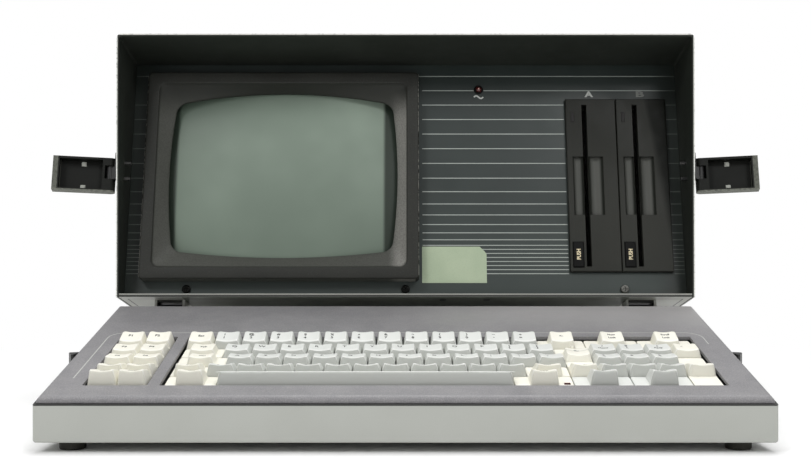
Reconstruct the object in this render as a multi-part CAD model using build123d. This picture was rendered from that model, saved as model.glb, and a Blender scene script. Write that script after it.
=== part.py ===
from build123d import *
import math
import os

# Luggable computer, 1980s pattern: a wide metal case that leans back on a fold-down front stand,
# and a wedge-shaped keyboard that stands by itself in front and latches on as the case's lid.
# World frame: +X to the right, +Y away from the user, +Z up, table at Z = 0. The shapes are drawn
# with Y = 0 at the keyboard's front face, and shifted last to the middle of the footprint.
# Case frame: X right, Y backwards from the lower edge of the mouth, Z up from the case's underside.
# Plate frame (keyboard): X right, Y up the slope of the top plate, Z out of the plate.

# ---- driving dimensions (mm, degrees) ----
CASE_W = 457.2            # 18 in
CASE_H = 203.2            # 8 in
CASE_D_TOP = 370.6        # mouth to rear along the roof
SLANT = 12.5              # slope of the mouth, and of the keyboard's wedge
TILT = 12.9               # how far the case leans back on its stand
MOUTH_Y = 200.0           # lower edge of the mouth, behind the keyboard's front face
MOUTH_Z = 85.2            # lower edge of the mouth, above the table
SHEET = 2.0               # cover sheet
THIN = 1.6                # inner sheet
CORNER_R = 4.0
SEAM = 0.2                # gap between fitted sheets
RUN = 0.3                 # gap round a moving part

RECESS = 16.8             # front panel behind the mouth's lower edge
PANEL_T = 2.0
PANEL_SCREW_X = 176.5
PANEL_SCREW_Z = 9.0
SCREW_HEAD_R = 3.5
SCREW_SHANK_R = 1.5

BEZEL_W = 224.5           # screen surround
BEZEL_H = 175.0
BEZEL_X = -213.5          # its left side
BEZEL_Z = 15.5            # its lower side
BEZEL_PROUD = 12.0
BEZEL_BAND = 10.0         # flat band round the funnel
FUNNEL_DEPTH = 10.7
SCREEN_W = 188.0          # opening, across the middle
SCREEN_H = 139.0
SCREEN_BOW_X = 4.5        # bow of the left and right sides
SCREEN_BOW_TOP = 9.3
SCREEN_BOW_LOW = 5.8
SCREEN_TOP_RISE = 1.3     # top edge above half the opening
SCREEN_R = 7.0
GLASS_W = 208.0           # picture tube face
GLASS_H = 157.0
GLASS_R = 20.0
GLASS_SPHERE = 560.0      # radius of the face's bulge
GLASS_SKIRT = 25.0
FUNNEL_END = 99.0         # tube's cone ends this far behind the panel
NECK_R = 14.3
NECK_L = 88.0
EAR_Y = 9.0               # tension band and its ears, behind the panel
EAR_T = 2.0
EAR_X = 103.0             # ears from the screen's middle
EAR_Z = 81.5
EAR_HALF = 9.0
BAND_W = 12.0
YOKE_R = 38.0
YOKE_L = 32.0

DRIVE_W = 41.3            # half-height drive, set upright
DRIVE_H = 146.6
DRIVE_PITCH = 41.9
DRIVE_X = 133.2           # left side of drive A
DRIVE_Z = 23.0
DRIVE_D = 190.0
DRIVE_PROUD = 4.0
DRIVE_FACE_T = 10.0
SLOT_W = 4.2
DISK_WAY = 3.2            # half the way for a disk in the chassis
SLOT_X = 15.2             # slot centre from the drive's left side
SLOT_Z0 = 4.0             # slot ends from the drive's lower side
SLOT_TOP = 5.1            # slot's upper end below the drive's top
GRIP_H = 49.5             # finger recess in the drive face
GRIP_DROP = 1.55          # its middle below the drive's middle
GRIP_LEFT_W = 8.7
GRIP_RIGHT_W = 12.3
GRIP_LEFT_DEPTH = 4.0
GRIP_RIGHT_DEPTH = 4.5
BUTTON_W = 9.2
BUTTON_H = 21.4
BUTTON_X = 2.0            # button hole from the drive's left side
BUTTON_Z = 3.2
BUTTON_PROUD = 1.4
BUTTON_TRAVEL = 2.5
DRIVE_LAMP_W = 2.4
DRIVE_LAMP_H = 8.3
DRIVE_LAMP_X = 4.3
DRIVE_LAMP_TOP = 11.8     # lamp's upper end below the drive's top

POWER_LAMP_X = 61.2
POWER_LAMP_Z = 179.0
POWER_LAMP_R = 2.5
STICKER = (52.3, 30.0)
STICKER_X = 13.4
STICKER_Z = 14.3
STICKER_T = 0.2

BULKHEAD_X = 20.0
REAR_T = 2.0
BOARD_T = 1.6
BOARD_GAP = 6.4           # main board above the bottom sheet
CARD_XS = (50.0, 75.0, 100.0)
CARD_L = 250.0
CARD_H = 106.0
SUPPLY = (144.0, 145.0, 68.0)
SUPPLY_X = -222.0
FAN_SIZE = 80.0
FAN_T = 25.0
FAN_X = -30.0
FAN_Z = 153.0
FAN_BLADES = 7
INLET_X = -190.0
INLET_Z = 36.0
KNOB_X = -48.0
KNOB_Z = 48.0
KNOB_R = 7.5
KNOB_L = 8.0
KNOB_SHAFT_R = 3.0
KNOB_SHAFT_IN = 8.0       # shaft end in front of the rear panel
SOCKET_Z = 34.0
SOCKET_DEPTH = 10.0
SOCKET_FLANGE = 1.2
SOCKETS = ((50.0, (12.0, 62.0)), (75.0, (12.0, 40.0)), (160.0, (20.0, 20.0)))     # x, (width, height)
INLET_HOLE = (62.0, 32.0)
INLET_FLANGE = 1.6
INLET_DEPTH = 22.0
PLUG_HOLE = (24.0, 17.0)
ROCKER_HOLE = (16.0, 24.0)
ROCKER_STEP = 15.5        # plug and rocker either side of the inlet's middle
ROCKER_BACK = 3.0         # rocker's pin below the flange's face
ROCKER_PIN = (1.5, 1.8)   # radius, length
MONITOR_GAP = 4.0
MONITOR_Y = (62.0, 222.0)
MONITOR_Z = (24.0, 176.0)
FAN_AXLE_R = 2.0
FAN_HUB_R = 16.0
FAN_WALL = 2.0
FAN_SLOT = 4.4
SPEAKER_AT = (-40.0, 60.0)
SPEAKER_R = 26.0

LATCH_L = 44.0            # lever, from its pin to its outer end
LATCH_H = 27.5
LATCH_T = 9.0
LATCH_WALL = 1.8
LATCH_Z = 95.6
LATCH_OPEN = 10.0         # forward of square to the case side
LATCH_PIN_Y = -12.0
LATCH_PIN_R = 1.5
KNUCKLE_R = 3.2
PIN_RUN = 0.06            # radial running clearance on pins
BRACKET_T = 2.0
BRACKET_H = 21.0
BRACKET_Z = 102.5

LEG_W = 19.5
LEG_X = 189.0
LEG_T = 8.0
LEG_LEAN = 6.0            # foot forward of the pivot
LEG_PIN_R = 3.0
STAND_Y = 24.0            # pivot behind the mouth's lower edge
STAND_DROP = 7.0          # pivot below the underside
STAND_BAR = 12.0
REAR_FOOT_R = 11.0
REAR_FOOT_X = 190.0
REAR_FOOT_Y = 306.0

HANDLE_W = 150.0          # between the arms' centres
HANDLE_Z = 122.0          # pivot line above the underside
HANDLE_DROP = 42.0
HANDLE_GRIP = 14.0
HANDLE_OFF = 11.0         # pivot behind the rear panel
HANDLE_PIN_R = 3.0

KB_D = 203.2
KB_WALL_FRONT = 23.2      # pan's front wall
KB_FOOT_H = 6.3
KB_FOOT_R = 8.2
KB_FOOT_X = 208.5
KB_WALL = 3.0
KB_HEM_R = 1.5            # pan's lower edges
PLATE_T = 2.2
PLATE_RISE = 4.4          # top plate above the pan's rim
PLATE_INSET = 1.7
PLATE_EDGE_R = 3.6
UNIT = 19.05              # key pitch
WELL_S0 = 22.5            # key wells up the slope from the plate's front
WELL_S1 = 124.0
WELL_GAP = 2.9            # behind the keys, and at both sides together
MAIN_X = -154.1           # left side of the main key block
FUNC_X = -202.8           # left side of the function keys
KEY_GAP = 0.75            # between neighbouring keys
KEY_SKIRT = 5.0           # key bottom below the plate
KEY_STEP = -2.2           # ledge of a key, below the plate
KEY_TOP = (14.6, 13.4)
KEY_TRAVEL = 3.5
STEM = 5.0
STEM_L = 6.0
HOUSING = 14.0
HOUSING_H = 4.7
CATCH_Y = 95.0
CATCH_PROUD = 6.6
CATCH_T = 15.0
CABLE_X = 150.0
CABLE_Z = 24.0
CABLE_HALF = (6.0, 4.0)   # opening of the lead's socket
# Middle of a key's top above the plate, and its tilt against it: rear row first, space bar last.
ROW_LIFT = (5.2, 3.5, 3.7, 4.0, 6.5, 4.9)
ROW_TIP = (11.0, 0.0, -9.0, -18.0, -18.0, -18.0)

# ---- values worked out from them ----
RISE = math.tan(math.radians(SLANT))
CASE_D = CASE_D_TOP - CASE_H * RISE
IN_W = CASE_W - 2 * SHEET
IN_H = CASE_H - SHEET
PANEL_BACK = RECESS + PANEL_T
REAR_Y = CASE_D - REAR_T
BEZEL_FACE = RECESS - BEZEL_PROUD
SCREEN_X = BEZEL_X + BEZEL_W / 2 + 0.75
SCREEN_Z = BEZEL_Z + BEZEL_H / 2 + 1.0
CASE = Location((0, MOUTH_Y, MOUTH_Z), (-TILT, 0, 0))
PLATE_Z = KB_FOOT_H + KB_WALL_FRONT + PLATE_RISE
PLATE = Location((0, 0, PLATE_Z), (SLANT, 0, 0))
BOARD_Z = THIN + BOARD_GAP
LATCH_PIN_X = CASE_W / 2 + BRACKET_T + LATCH_T / 2 + RUN + SEAM
DRIVE_LAMP_Z = DRIVE_H - DRIVE_LAMP_TOP - DRIVE_LAMP_H
GRIP_Z0 = DRIVE_H / 2 - GRIP_DROP - GRIP_H / 2
KNUCKLE = (BRACKET_Z - BRACKET_H / 2 + 0.5, LATCH_Z + LATCH_H / 2 - 6.5)
ROCKER_X = INLET_X + ROCKER_STEP
STAND_PIVOT = CASE * Pos(0, STAND_Y, -STAND_DROP)
PIVOT_Y = STAND_PIVOT.position.Y
PIVOT_Z = STAND_PIVOT.position.Z
SWITCH_N = -KEY_SKIRT - KEY_TRAVEL - RUN - HOUSING_H      # top of the switch board below the plate
ROW_S = [WELL_S1 - WELL_GAP - UNIT * (row + 0.5) for row in range(5)]

FOOTPRINT_D = MOUTH_Y + CASE_D * math.cos(math.radians(TILT)) + CASE_H * math.sin(math.radians(TILT))
ORIGIN = Location((0, -FOOTPRINT_D / 2, 0))

os.makedirs("parts", exist_ok=True)


def block(x0, x1, y0, y1, z0, z1):
    """A box between two corners."""
    size = Box(x1 - x0, y1 - y0, z1 - z0)
    return Pos((x0 + x1) / 2, (y0 + y1) / 2, (z0 + z1) / 2) * size


def rod(axis, radius, start, end, centre):
    """A cylinder along X, Y or Z from start to end; centre holds its other two coordinates."""
    shape = Cylinder(radius, end - start)
    middle = (start + end) / 2
    if axis == "X":
        return Pos(middle, centre[0], centre[1]) * Rot(0, 90, 0) * shape
    if axis == "Y":
        return Pos(centre[0], middle, centre[1]) * Rot(90, 0, 0) * shape
    return Pos(centre[0], centre[1], middle) * shape


def slab_y(sketch, y0, y1):
    """A sketch drawn as seen from the front (X right, Z up), thickened from y0 back to y1."""
    plane = Plane(origin=(0, y1, 0), x_dir=(1, 0, 0), z_dir=(0, -1, 0))
    return extrude(plane * sketch, y1 - y0)


def side_prism(points, x0, x1):
    """A closed outline of (y, z) points, thickened along X from x0 to x1."""
    plane = Plane(origin=(x0, 0, 0), x_dir=(0, 1, 0), z_dir=(1, 0, 0))
    outline = Polyline(*points, close=True)
    return extrude(plane * make_face(outline), x1 - x0)


def write(name, shape, where=None):
    """Place a shape and write it as one sub-part."""
    placed = ORIGIN * where * shape if where is not None else ORIGIN * shape
    export_step(placed, f"parts/{name}.step")


def group(shapes):
    """Separate solids kept together as one sub-part."""
    solids = []
    for shape in shapes:
        solids.extend(shape.solids())
    return Compound(solids)


# ---- case: sheets ----
def mouth_y(z):
    """Depth of the slanted mouth at a height above the underside."""
    return -z * RISE


def outer_cover():
    """Roof and two sides in one bent sheet, cut on the slant at the mouth."""
    outline = [(0, 0), (mouth_y(CASE_H), CASE_H), (CASE_D, CASE_H), (CASE_D, 0)]
    outer = side_prism(outline, -CASE_W / 2, CASE_W / 2)
    roof_edges = outer.edges().filter_by(Axis.Y).group_by(Axis.Z)[-1]
    outer = fillet(roof_edges, CORNER_R)
    inner = block(-IN_W / 2, IN_W / 2, -CASE_H, CASE_D + SHEET, -SHEET, IN_H)
    inner = fillet(inner.edges().filter_by(Axis.Y).group_by(Axis.Z)[-1], CORNER_R - SHEET)
    cover = outer - inner
    for side in (-1, 1):
        wall = (side * IN_W / 2, side * CASE_W / 2)
        for y, z in side_screws():
            cover -= rod("X", SCREW_SHANK_R + SEAM, min(wall), max(wall), (y, z))
        for y, z in bracket_screws():
            cover -= rod("X", SCREW_SHANK_R + SEAM, min(wall), max(wall), (y, z))
    return cover


def side_screws():
    """(y, z) of the screws along the foot of each side."""
    return [(CASE_D * share, 9.0) for share in (0.2, 0.55, 0.9)]


def bracket_screws():
    """(y, z) of the screws that hold each latch bracket."""
    return [(LATCH_PIN_Y + 9.0, BRACKET_Z + step) for step in (-6.5, 6.5)]


def bottom_pan():
    """Bottom sheet with upturned side flanges, a front hem and pillars for the main board."""
    half = IN_W / 2 - SEAM
    pan = block(-half, half, 0, CASE_D - SEAM, 0, THIN)
    pan += block(-half, half, 0, THIN, 0, 2.6)
    for side in (-1, 1):
        edges = (side * (half - THIN), side * half)
        flange = block(min(edges), max(edges), PANEL_BACK + SEAM, REAR_Y - SEAM, 0, 18.0)
        for y, z in side_screws():
            flange -= rod("X", SCREW_SHANK_R + SEAM, min(edges), max(edges), (y, z))
        pan += flange
    for x, y in board_pillars():
        pan += rod("Z", 4.0, 0, BOARD_Z, (x, y))
    return pan


def board_pillars():
    """(x, y) of the pillars under the main board."""
    left, right = board_sides()
    return [(x, y) for x in (left + 8, right - 8) for y in (60.0, 180.0, 290.0)]


def board_sides():
    """Left and right edge of the main board."""
    return BULKHEAD_X + 8.0, DRIVE_X + 2 * DRIVE_PITCH - 6.0


def round_top(panel):
    """Upper corners of a panel rounded to the bend of the cover."""
    corners = panel.edges().filter_by(Axis.Y).group_by(Axis.Z)[-1]
    return fillet(corners, CORNER_R - SHEET)


def front_panel():
    """Sheet behind the mouth, cut out for the tube, the drives, the lamp and its screws."""
    half = IN_W / 2 - SEAM
    panel = block(-half, half, RECESS, PANEL_BACK, THIN + SEAM, IN_H - SEAM)
    panel = round_top(panel)
    gap = 2.0
    glass = RectangleRounded(GLASS_W + 2 * gap, GLASS_H + 2 * gap, GLASS_R + gap)
    panel -= slab_y(Pos(SCREEN_X, SCREEN_Z) * glass, RECESS, PANEL_BACK)
    for drive in range(2):
        x = DRIVE_X + drive * DRIVE_PITCH
        panel -= block(x - SEAM, x + DRIVE_W + SEAM, RECESS, PANEL_BACK, DRIVE_Z - SEAM,
                       DRIVE_Z + DRIVE_H + SEAM)
    panel -= rod("Y", POWER_LAMP_R + SEAM, RECESS, PANEL_BACK, (POWER_LAMP_X, POWER_LAMP_Z))
    for x in (-PANEL_SCREW_X, 0, PANEL_SCREW_X):
        panel -= rod("Y", SCREW_SHANK_R + SEAM, RECESS, PANEL_BACK, (x, PANEL_SCREW_Z))
    for x, z in tube_ears():
        panel += rod("Y", 4.0, PANEL_BACK, PANEL_BACK + EAR_Y, (x, z))
    return panel


def tube_ears():
    """(x, z) of the four ears of the tube's band."""
    return [(SCREEN_X + sx * EAR_X, SCREEN_Z + sz * EAR_Z) for sx in (-1, 1) for sz in (-1, 1)]


def rear_panel():
    """Sheet that closes the back, with the fan slots and the cut-outs for its fittings."""
    half = IN_W / 2 - SEAM
    panel = block(-half, half, REAR_Y, CASE_D, THIN + SEAM, IN_H - SEAM)
    panel = round_top(panel)
    pitch = 8.0
    for row in range(-4, 5):
        z = FAN_Z + row * pitch
        reach = math.sqrt((FAN_SIZE / 2 - FAN_WALL) ** 2 - (row * pitch) ** 2)
        slot = SlotOverall(2 * reach, FAN_SLOT)
        panel -= slab_y(Pos(FAN_X, z) * slot, REAR_Y, CASE_D)
    panel -= fitting_block(INLET_X, INLET_Z, INLET_HOLE, REAR_Y, CASE_D, SEAM)
    for x, size in SOCKETS:
        panel -= fitting_block(x, SOCKET_Z, size, REAR_Y, CASE_D, SEAM)
    panel -= rod("Y", KNOB_SHAFT_R + SEAM, REAR_Y, CASE_D, (KNOB_X, KNOB_Z))
    return panel


def fitting_block(x, z, size, y0, y1, grow):
    """A block of width and height size about (x, z), grown by a clearance."""
    half_w = size[0] / 2 + grow
    half_h = size[1] / 2 + grow
    return block(x - half_w, x + half_w, y0, y1, z - half_h, z + half_h)


def bulkhead():
    """Upright sheet from front to rear, between the tube's bay and the cards."""
    sheet = block(BULKHEAD_X, BULKHEAD_X + THIN, PANEL_BACK + SEAM, REAR_Y - SEAM,
                  THIN, IN_H - SEAM)
    sheet += block(BULKHEAD_X, BULKHEAD_X + 5.0, PANEL_BACK + SEAM, REAR_Y - SEAM, THIN, 2 * THIN)
    for y, z in monitor_pillars():
        sheet += rod("X", 3.0, BULKHEAD_X - MONITOR_GAP, BULKHEAD_X, (y, z))
    return sheet


def monitor_pillars():
    """(y, z) of the pillars that hold the monitor board on the bulkhead."""
    inset = 8.0
    depths = (MONITOR_Y[0] + inset, MONITOR_Y[1] - inset)
    heights = (MONITOR_Z[0] + inset, MONITOR_Z[1] - inset)
    return [(y, z) for y in depths for z in heights]


# ---- screen ----
def screen_outline():
    """Opening with four bowed sides and rounded corners, about the origin."""
    half_w = SCREEN_W / 2
    half_h = SCREEN_H / 2
    top = half_h + SCREEN_TOP_RISE
    cx = half_w - SCREEN_BOW_X
    cz = top - SCREEN_BOW_TOP
    low = SCREEN_BOW_LOW - half_h
    with BuildSketch() as drawing:
        with BuildLine():
            ThreePointArc((-cx, cz), (0, top), (cx, cz))
            ThreePointArc((cx, cz), (half_w, 0), (cx, low))
            ThreePointArc((cx, low), (0, -half_h), (-cx, low))
            ThreePointArc((-cx, low), (-half_w, 0), (-cx, cz))
        make_face()
        fillet(drawing.vertices(), SCREEN_R)
    return drawing.sketch


def crt_bezel():
    """Moulded surround: a flat band, then a funnel that narrows to the screen opening."""
    centre_x = BEZEL_X + BEZEL_W / 2
    centre_z = BEZEL_Z + BEZEL_H / 2
    body = slab_y(Pos(centre_x, centre_z) * RectangleRounded(BEZEL_W, BEZEL_H, 3.0), BEZEL_FACE, RECESS)
    body = fillet(body.faces().sort_by(Axis.Y)[0].edges(), 1.6)
    mouth = RectangleRounded(BEZEL_W - 2 * BEZEL_BAND, BEZEL_H - 2 * BEZEL_BAND, 5.0)
    front = Plane(origin=(0, BEZEL_FACE, 0), x_dir=(1, 0, 0), z_dir=(0, -1, 0))
    deep = Plane(origin=(0, BEZEL_FACE + FUNNEL_DEPTH, 0), x_dir=(1, 0, 0), z_dir=(0, -1, 0))
    funnel = loft([front * Pos(centre_x, centre_z) * mouth,
                   deep * Pos(SCREEN_X, SCREEN_Z) * screen_outline()])
    body -= funnel
    body -= slab_y(Pos(SCREEN_X, SCREEN_Z) * screen_outline(), BEZEL_FACE + FUNNEL_DEPTH, RECESS)
    return body


def crt_tube():
    """Glass bulb: bulged face, straight skirt, cone and neck."""
    face_y = RECESS - 3.3
    skirt_end = PANEL_BACK + GLASS_SKIRT
    outline = Pos(SCREEN_X, SCREEN_Z) * RectangleRounded(GLASS_W, GLASS_H, GLASS_R)
    face = slab_y(outline, face_y - 1, skirt_end)
    ball = Pos(SCREEN_X, face_y + GLASS_SPHERE, SCREEN_Z) * Sphere(GLASS_SPHERE)
    face = face & ball
    cone_end = PANEL_BACK + FUNNEL_END
    back = Plane(origin=(0, skirt_end, 0), x_dir=(1, 0, 0), z_dir=(0, -1, 0))
    end = Plane(origin=(0, cone_end, 0), x_dir=(1, 0, 0), z_dir=(0, -1, 0))
    narrow = 2 * NECK_R + 12
    cone = loft([back * Pos(SCREEN_X, SCREEN_Z) * RectangleRounded(GLASS_W, GLASS_H, GLASS_R),
                 end * Pos(SCREEN_X, SCREEN_Z) * RectangleRounded(narrow, narrow, narrow / 2 - 0.5)])
    neck = rod("Y", NECK_R, cone_end - 1, cone_end + NECK_L, (SCREEN_X, SCREEN_Z))
    return face + cone + neck


def crt_band():
    """Steel tension band round the tube's skirt, with four ears."""
    y0 = PANEL_BACK + EAR_Y
    outer = RectangleRounded(GLASS_W + 2 * THIN, GLASS_H + 2 * THIN, GLASS_R + THIN)
    band = slab_y(Pos(SCREEN_X, SCREEN_Z) * outer, y0, y0 + BAND_W)
    for x, z in tube_ears():
        band += fitting_block(x, z, (2 * EAR_HALF, 2 * EAR_HALF), y0, y0 + EAR_T, 0)
    hole = RectangleRounded(GLASS_W + 2 * SEAM, GLASS_H + 2 * SEAM, GLASS_R + SEAM)
    band -= slab_y(Pos(SCREEN_X, SCREEN_Z) * hole, y0, y0 + BAND_W)
    return band


def deflection_yoke():
    """Coils and ring clamped on the neck, just behind the cone."""
    y0 = PANEL_BACK + FUNNEL_END + RUN
    at = (SCREEN_X, SCREEN_Z)
    yoke = rod("Y", YOKE_R, y0, y0 + 10, at)
    yoke += rod("Y", YOKE_R - 8, y0 + 10, y0 + YOKE_L - 8, at)
    yoke += rod("Y", NECK_R + 5, y0 + YOKE_L - 8, y0 + YOKE_L, at)
    yoke -= rod("Y", NECK_R + SEAM, y0, y0 + YOKE_L, at)
    return yoke


def neck_board():
    """Small board and socket on the end of the neck."""
    end = PANEL_BACK + FUNNEL_END + NECK_L
    at = (SCREEN_X, SCREEN_Z)
    board = fitting_block(SCREEN_X, SCREEN_Z, (72.0, 66.0), end + SEAM, end + SEAM + BOARD_T, 0)
    socket = rod("Y", NECK_R + 3, end - 8, end + SEAM, at)
    socket -= rod("Y", NECK_R + SEAM, end - 8, end + SEAM, at)
    board += socket
    board += block(SCREEN_X + 14, SCREEN_X + 30, end - 8, end + SEAM, SCREEN_Z - 20, SCREEN_Z - 8)
    return board


def monitor_board():
    """Scan board on the bulkhead, with its line transformer, heat sink and capacitors."""
    right = BULKHEAD_X - MONITOR_GAP
    left = right - BOARD_T
    board = block(left, right, MONITOR_Y[0], MONITOR_Y[1], MONITOR_Z[0], MONITOR_Z[1])
    board += block(left - 30, left, 172.0, 206.0, 34.0, 78.0)
    board += rod("X", 9.0, left - 36, left - 30, (189.0, 56.0))
    board += block(left - 20, left, 150.0, 153.0, 96.0, 150.0)
    for y, z, radius in ((176, 100, 8), (196, 100, 8), (176, 124, 6), (196, 124, 6), (186, 148, 9)):
        board += rod("X", radius, left - 22, left, (y, z))
    return board


# ---- electronics ----
def power_supply():
    """Folded metal box with vent slots in its roof and windows for the inlet and wiring."""
    depth, height = SUPPLY[1], SUPPLY[2]
    x1 = SUPPLY_X + SUPPLY[0]
    y1 = REAR_Y - SEAM
    y0 = y1 - depth
    z0 = THIN + SEAM
    box = block(SUPPLY_X, x1, y0, y1, z0, z0 + height)
    wall = 1.2
    box -= block(SUPPLY_X + wall, x1 - wall, y0 + wall, y1 - wall, z0 + wall, z0 + height - wall)
    for slot in range(9):
        x = SUPPLY_X + 20 + slot * 13
        box -= block(x - 2.5, x + 2.5, y0 + 20, y1 - 60, z0 + height - wall, z0 + height)
    box -= fitting_block(INLET_X, INLET_Z, INLET_HOLE, y1 - wall, y1, SEAM)
    box += block(x1 - 40, x1 - wall, y0 + 20, y0 + 60, z0 + wall, z0 + 40)
    box += block(SUPPLY_X + 20, SUPPLY_X + 60, y0 + 16, y0 + 56, z0 + wall, z0 + 30)
    return box


def main_board():
    """Main circuit board with its card sockets and rows of chips."""
    left, right = board_sides()
    top = BOARD_Z + BOARD_T
    board = block(left, right, 40.0, REAR_Y - SOCKET_DEPTH - 2, BOARD_Z, top)
    for x in CARD_XS:
        holder = block(x - 4.5, x + 4.5, REAR_Y - 116, REAR_Y - 30, top, top + 11)
        holder -= block(x - BOARD_T / 2 - SEAM, x + BOARD_T / 2 + SEAM, REAR_Y - 116, REAR_Y - 30,
                        top + 3, top + 11)
        board += holder
    for column in range(5):
        for row in range(6):
            x = left + 100 + column * 14.5
            y = 56.0 + row * 26.0
            board += block(x, x + 7.5, y, y + 20, top, top + 4)
    board += block(left + 12, left + 27, 64.0, 116.0, top, top + 4.5)
    return board


def expansion_cards():
    """Three plug-in cards with rear brackets; the first carries the display circuit."""
    bottom = BOARD_Z + BOARD_T + 12
    cards = []
    for number, x in enumerate(CARD_XS):
        y1 = REAR_Y - 3.0
        y0 = y1 - CARD_L
        half = BOARD_T / 2
        card = block(x - half, x + half, y0, y1, bottom, bottom + CARD_H)
        card += block(x - half, x + half, REAR_Y - 112, REAR_Y - 34, bottom - 8, bottom)
        bracket = block(x - 9, x + 9, y1, y1 + 1.2, BOARD_Z + 4, bottom + CARD_H + 6)
        if number < 2:
            size = SOCKETS[number][1]
            bracket -= fitting_block(x, SOCKET_Z, size, y1, y1 + 1.2, SEAM)
            card -= fitting_block(x, SOCKET_Z, size, REAR_Y - SOCKET_DEPTH, y1 + 1.2, SEAM)
        card += bracket
        for chip in range(5):
            y = y0 + 18 + chip * 44
            card += block(x - half - 4, x - half, y, y + 30, bottom + 66, bottom + 76)
            card += block(x - half - 4, x - half, y, y + 22, bottom + 40, bottom + 48)
        cards.append(card)
    return group(cards)


def rear_sockets():
    """Printer, display and keyboard sockets, each with a flange on the rear panel."""
    sockets = []
    for x, size in SOCKETS:
        shell = fitting_block(x, SOCKET_Z, size, REAR_Y - SOCKET_DEPTH, CASE_D, -SEAM)
        y1 = CASE_D + SOCKET_FLANGE
        shell += fitting_block(x, SOCKET_Z, size, CASE_D, y1, 2.4)
        floor_y = REAR_Y - SOCKET_DEPTH + 2
        if size[0] == size[1]:
            hole = rod("Y", size[0] / 2 - 3, floor_y, y1, (x, SOCKET_Z))
        else:
            hole = fitting_block(x, SOCKET_Z, (size[0] - 5.0, size[1] - 7.0), floor_y, y1, 0)
        sockets.append(shell - hole)
    return group(sockets)


def mains_inlet():
    """Power entry: recessed three-pin inlet, fuse drawer and the rocker's frame."""
    y0 = REAR_Y - INLET_DEPTH
    y1 = CASE_D + INLET_FLANGE
    plug_x = INLET_X - ROCKER_STEP
    plug_z = INLET_Z + 2
    body = fitting_block(INLET_X, INLET_Z, INLET_HOLE, y0, CASE_D, -SEAM)
    body += fitting_block(INLET_X, INLET_Z, INLET_HOLE, CASE_D, y1, 3.0)
    body -= fitting_block(plug_x, plug_z, PLUG_HOLE, y0 + 4, y1, 0)
    for dx, dz in ((-7, -1), (7, -1), (0, 3)):
        body += fitting_block(plug_x + dx, plug_z + dz, (2.0, 4.0), y0 + 3, y1 - 10, 0)
    body += fitting_block(plug_x, INLET_Z - 11, (20.0, 6.0), y1, y1 + 1.2, 0)
    body -= fitting_block(ROCKER_X, INLET_Z, ROCKER_HOLE, y0 + 4, y1, 0)
    pivot_y = y1 - ROCKER_BACK
    for side in (-1, 1):
        x = ROCKER_X + side * ROCKER_HOLE[0] / 2
        inner = x - side * ROCKER_PIN[1]
        body += rod("X", ROCKER_PIN[0], min(x, inner), max(x, inner), (pivot_y, INLET_Z))
    return body


def power_switch():
    """Rocker of the mains switch, off: its upper half stands proud and is pressed in."""
    y1 = CASE_D + INLET_FLANGE
    pivot_y = y1 - ROCKER_BACK
    half_w = ROCKER_HOLE[0] / 2 - RUN
    outline = [(pivot_y - 6, -8.5), (pivot_y + 1.0, -11.0), (pivot_y + 4.4, -10.6), (pivot_y + 4.4, 0),
               (pivot_y + 5.8, 10.4), (pivot_y + 2.0, 11.2), (pivot_y - 6, 8.5)]
    rocker = side_prism(outline, ROCKER_X - half_w, ROCKER_X + half_w)
    rocker = Pos(0, 0, INLET_Z) * rocker
    for side in (-1, 1):
        x = ROCKER_X + side * half_w
        inner = x - side * (ROCKER_PIN[1] + RUN)
        rocker -= rod("X", ROCKER_PIN[0] + PIN_RUN, min(x, inner), max(x, inner), (pivot_y, INLET_Z))
    return rocker


def brightness_knob():
    """Ribbed knob on its shaft through the rear panel."""
    y0 = CASE_D + 1.0
    at = (KNOB_X, KNOB_Z)
    y1 = y0 + KNOB_L
    knob = rod("Y", KNOB_R, y0, y1, at)
    knob = fillet(knob.faces().sort_by(Axis.Y)[-1].edges(), 1.2)
    for rib in range(12):
        angle = math.radians(rib * 30)
        x = KNOB_X + KNOB_R * math.cos(angle)
        z = KNOB_Z + KNOB_R * math.sin(angle)
        knob -= rod("Y", 0.9, y0, y1, (x, z))
    knob += block(KNOB_X - 0.7, KNOB_X + 0.7, y1, y1 + 0.6, KNOB_Z, KNOB_Z + KNOB_R - 1.5)
    knob += rod("Y", KNOB_SHAFT_R, REAR_Y - KNOB_SHAFT_IN, y0 + 4, at)
    return knob


def brightness_control():
    """Body of the brightness control behind the rear panel, bored for the knob's shaft."""
    at = (KNOB_X, KNOB_Z)
    y1 = REAR_Y - SEAM
    body = rod("Y", 9.0, y1 - 12, y1, at)
    body += block(KNOB_X - 6, KNOB_X + 6, y1 - 12, y1 - 9, KNOB_Z - 16, KNOB_Z)
    body -= rod("Y", KNOB_SHAFT_R + PIN_RUN, REAR_Y - KNOB_SHAFT_IN - RUN, y1, at)
    return body


def fan_housing():
    """Square fan frame with four struts, a motor plate and its axle."""
    y1 = REAR_Y - SEAM
    y0 = y1 - FAN_T
    frame = fitting_block(FAN_X, FAN_Z, (FAN_SIZE, FAN_SIZE), y0, y1, 0)
    at = (FAN_X, FAN_Z)
    bore = FAN_SIZE / 2 - FAN_WALL
    frame -= rod("Y", bore, y0, y1, at)
    for angle in (45, 135, 225, 315):
        strut = block(0, bore + 1, y0, y0 + 2.5, -2, 2)
        frame += Pos(FAN_X, 0, FAN_Z) * Rot(0, angle, 0) * strut
    frame += rod("Y", FAN_HUB_R, y0, y0 + 3, at)
    frame += rod("Y", FAN_AXLE_R, y0 + 3, y0 + 18, at)
    return frame


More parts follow.
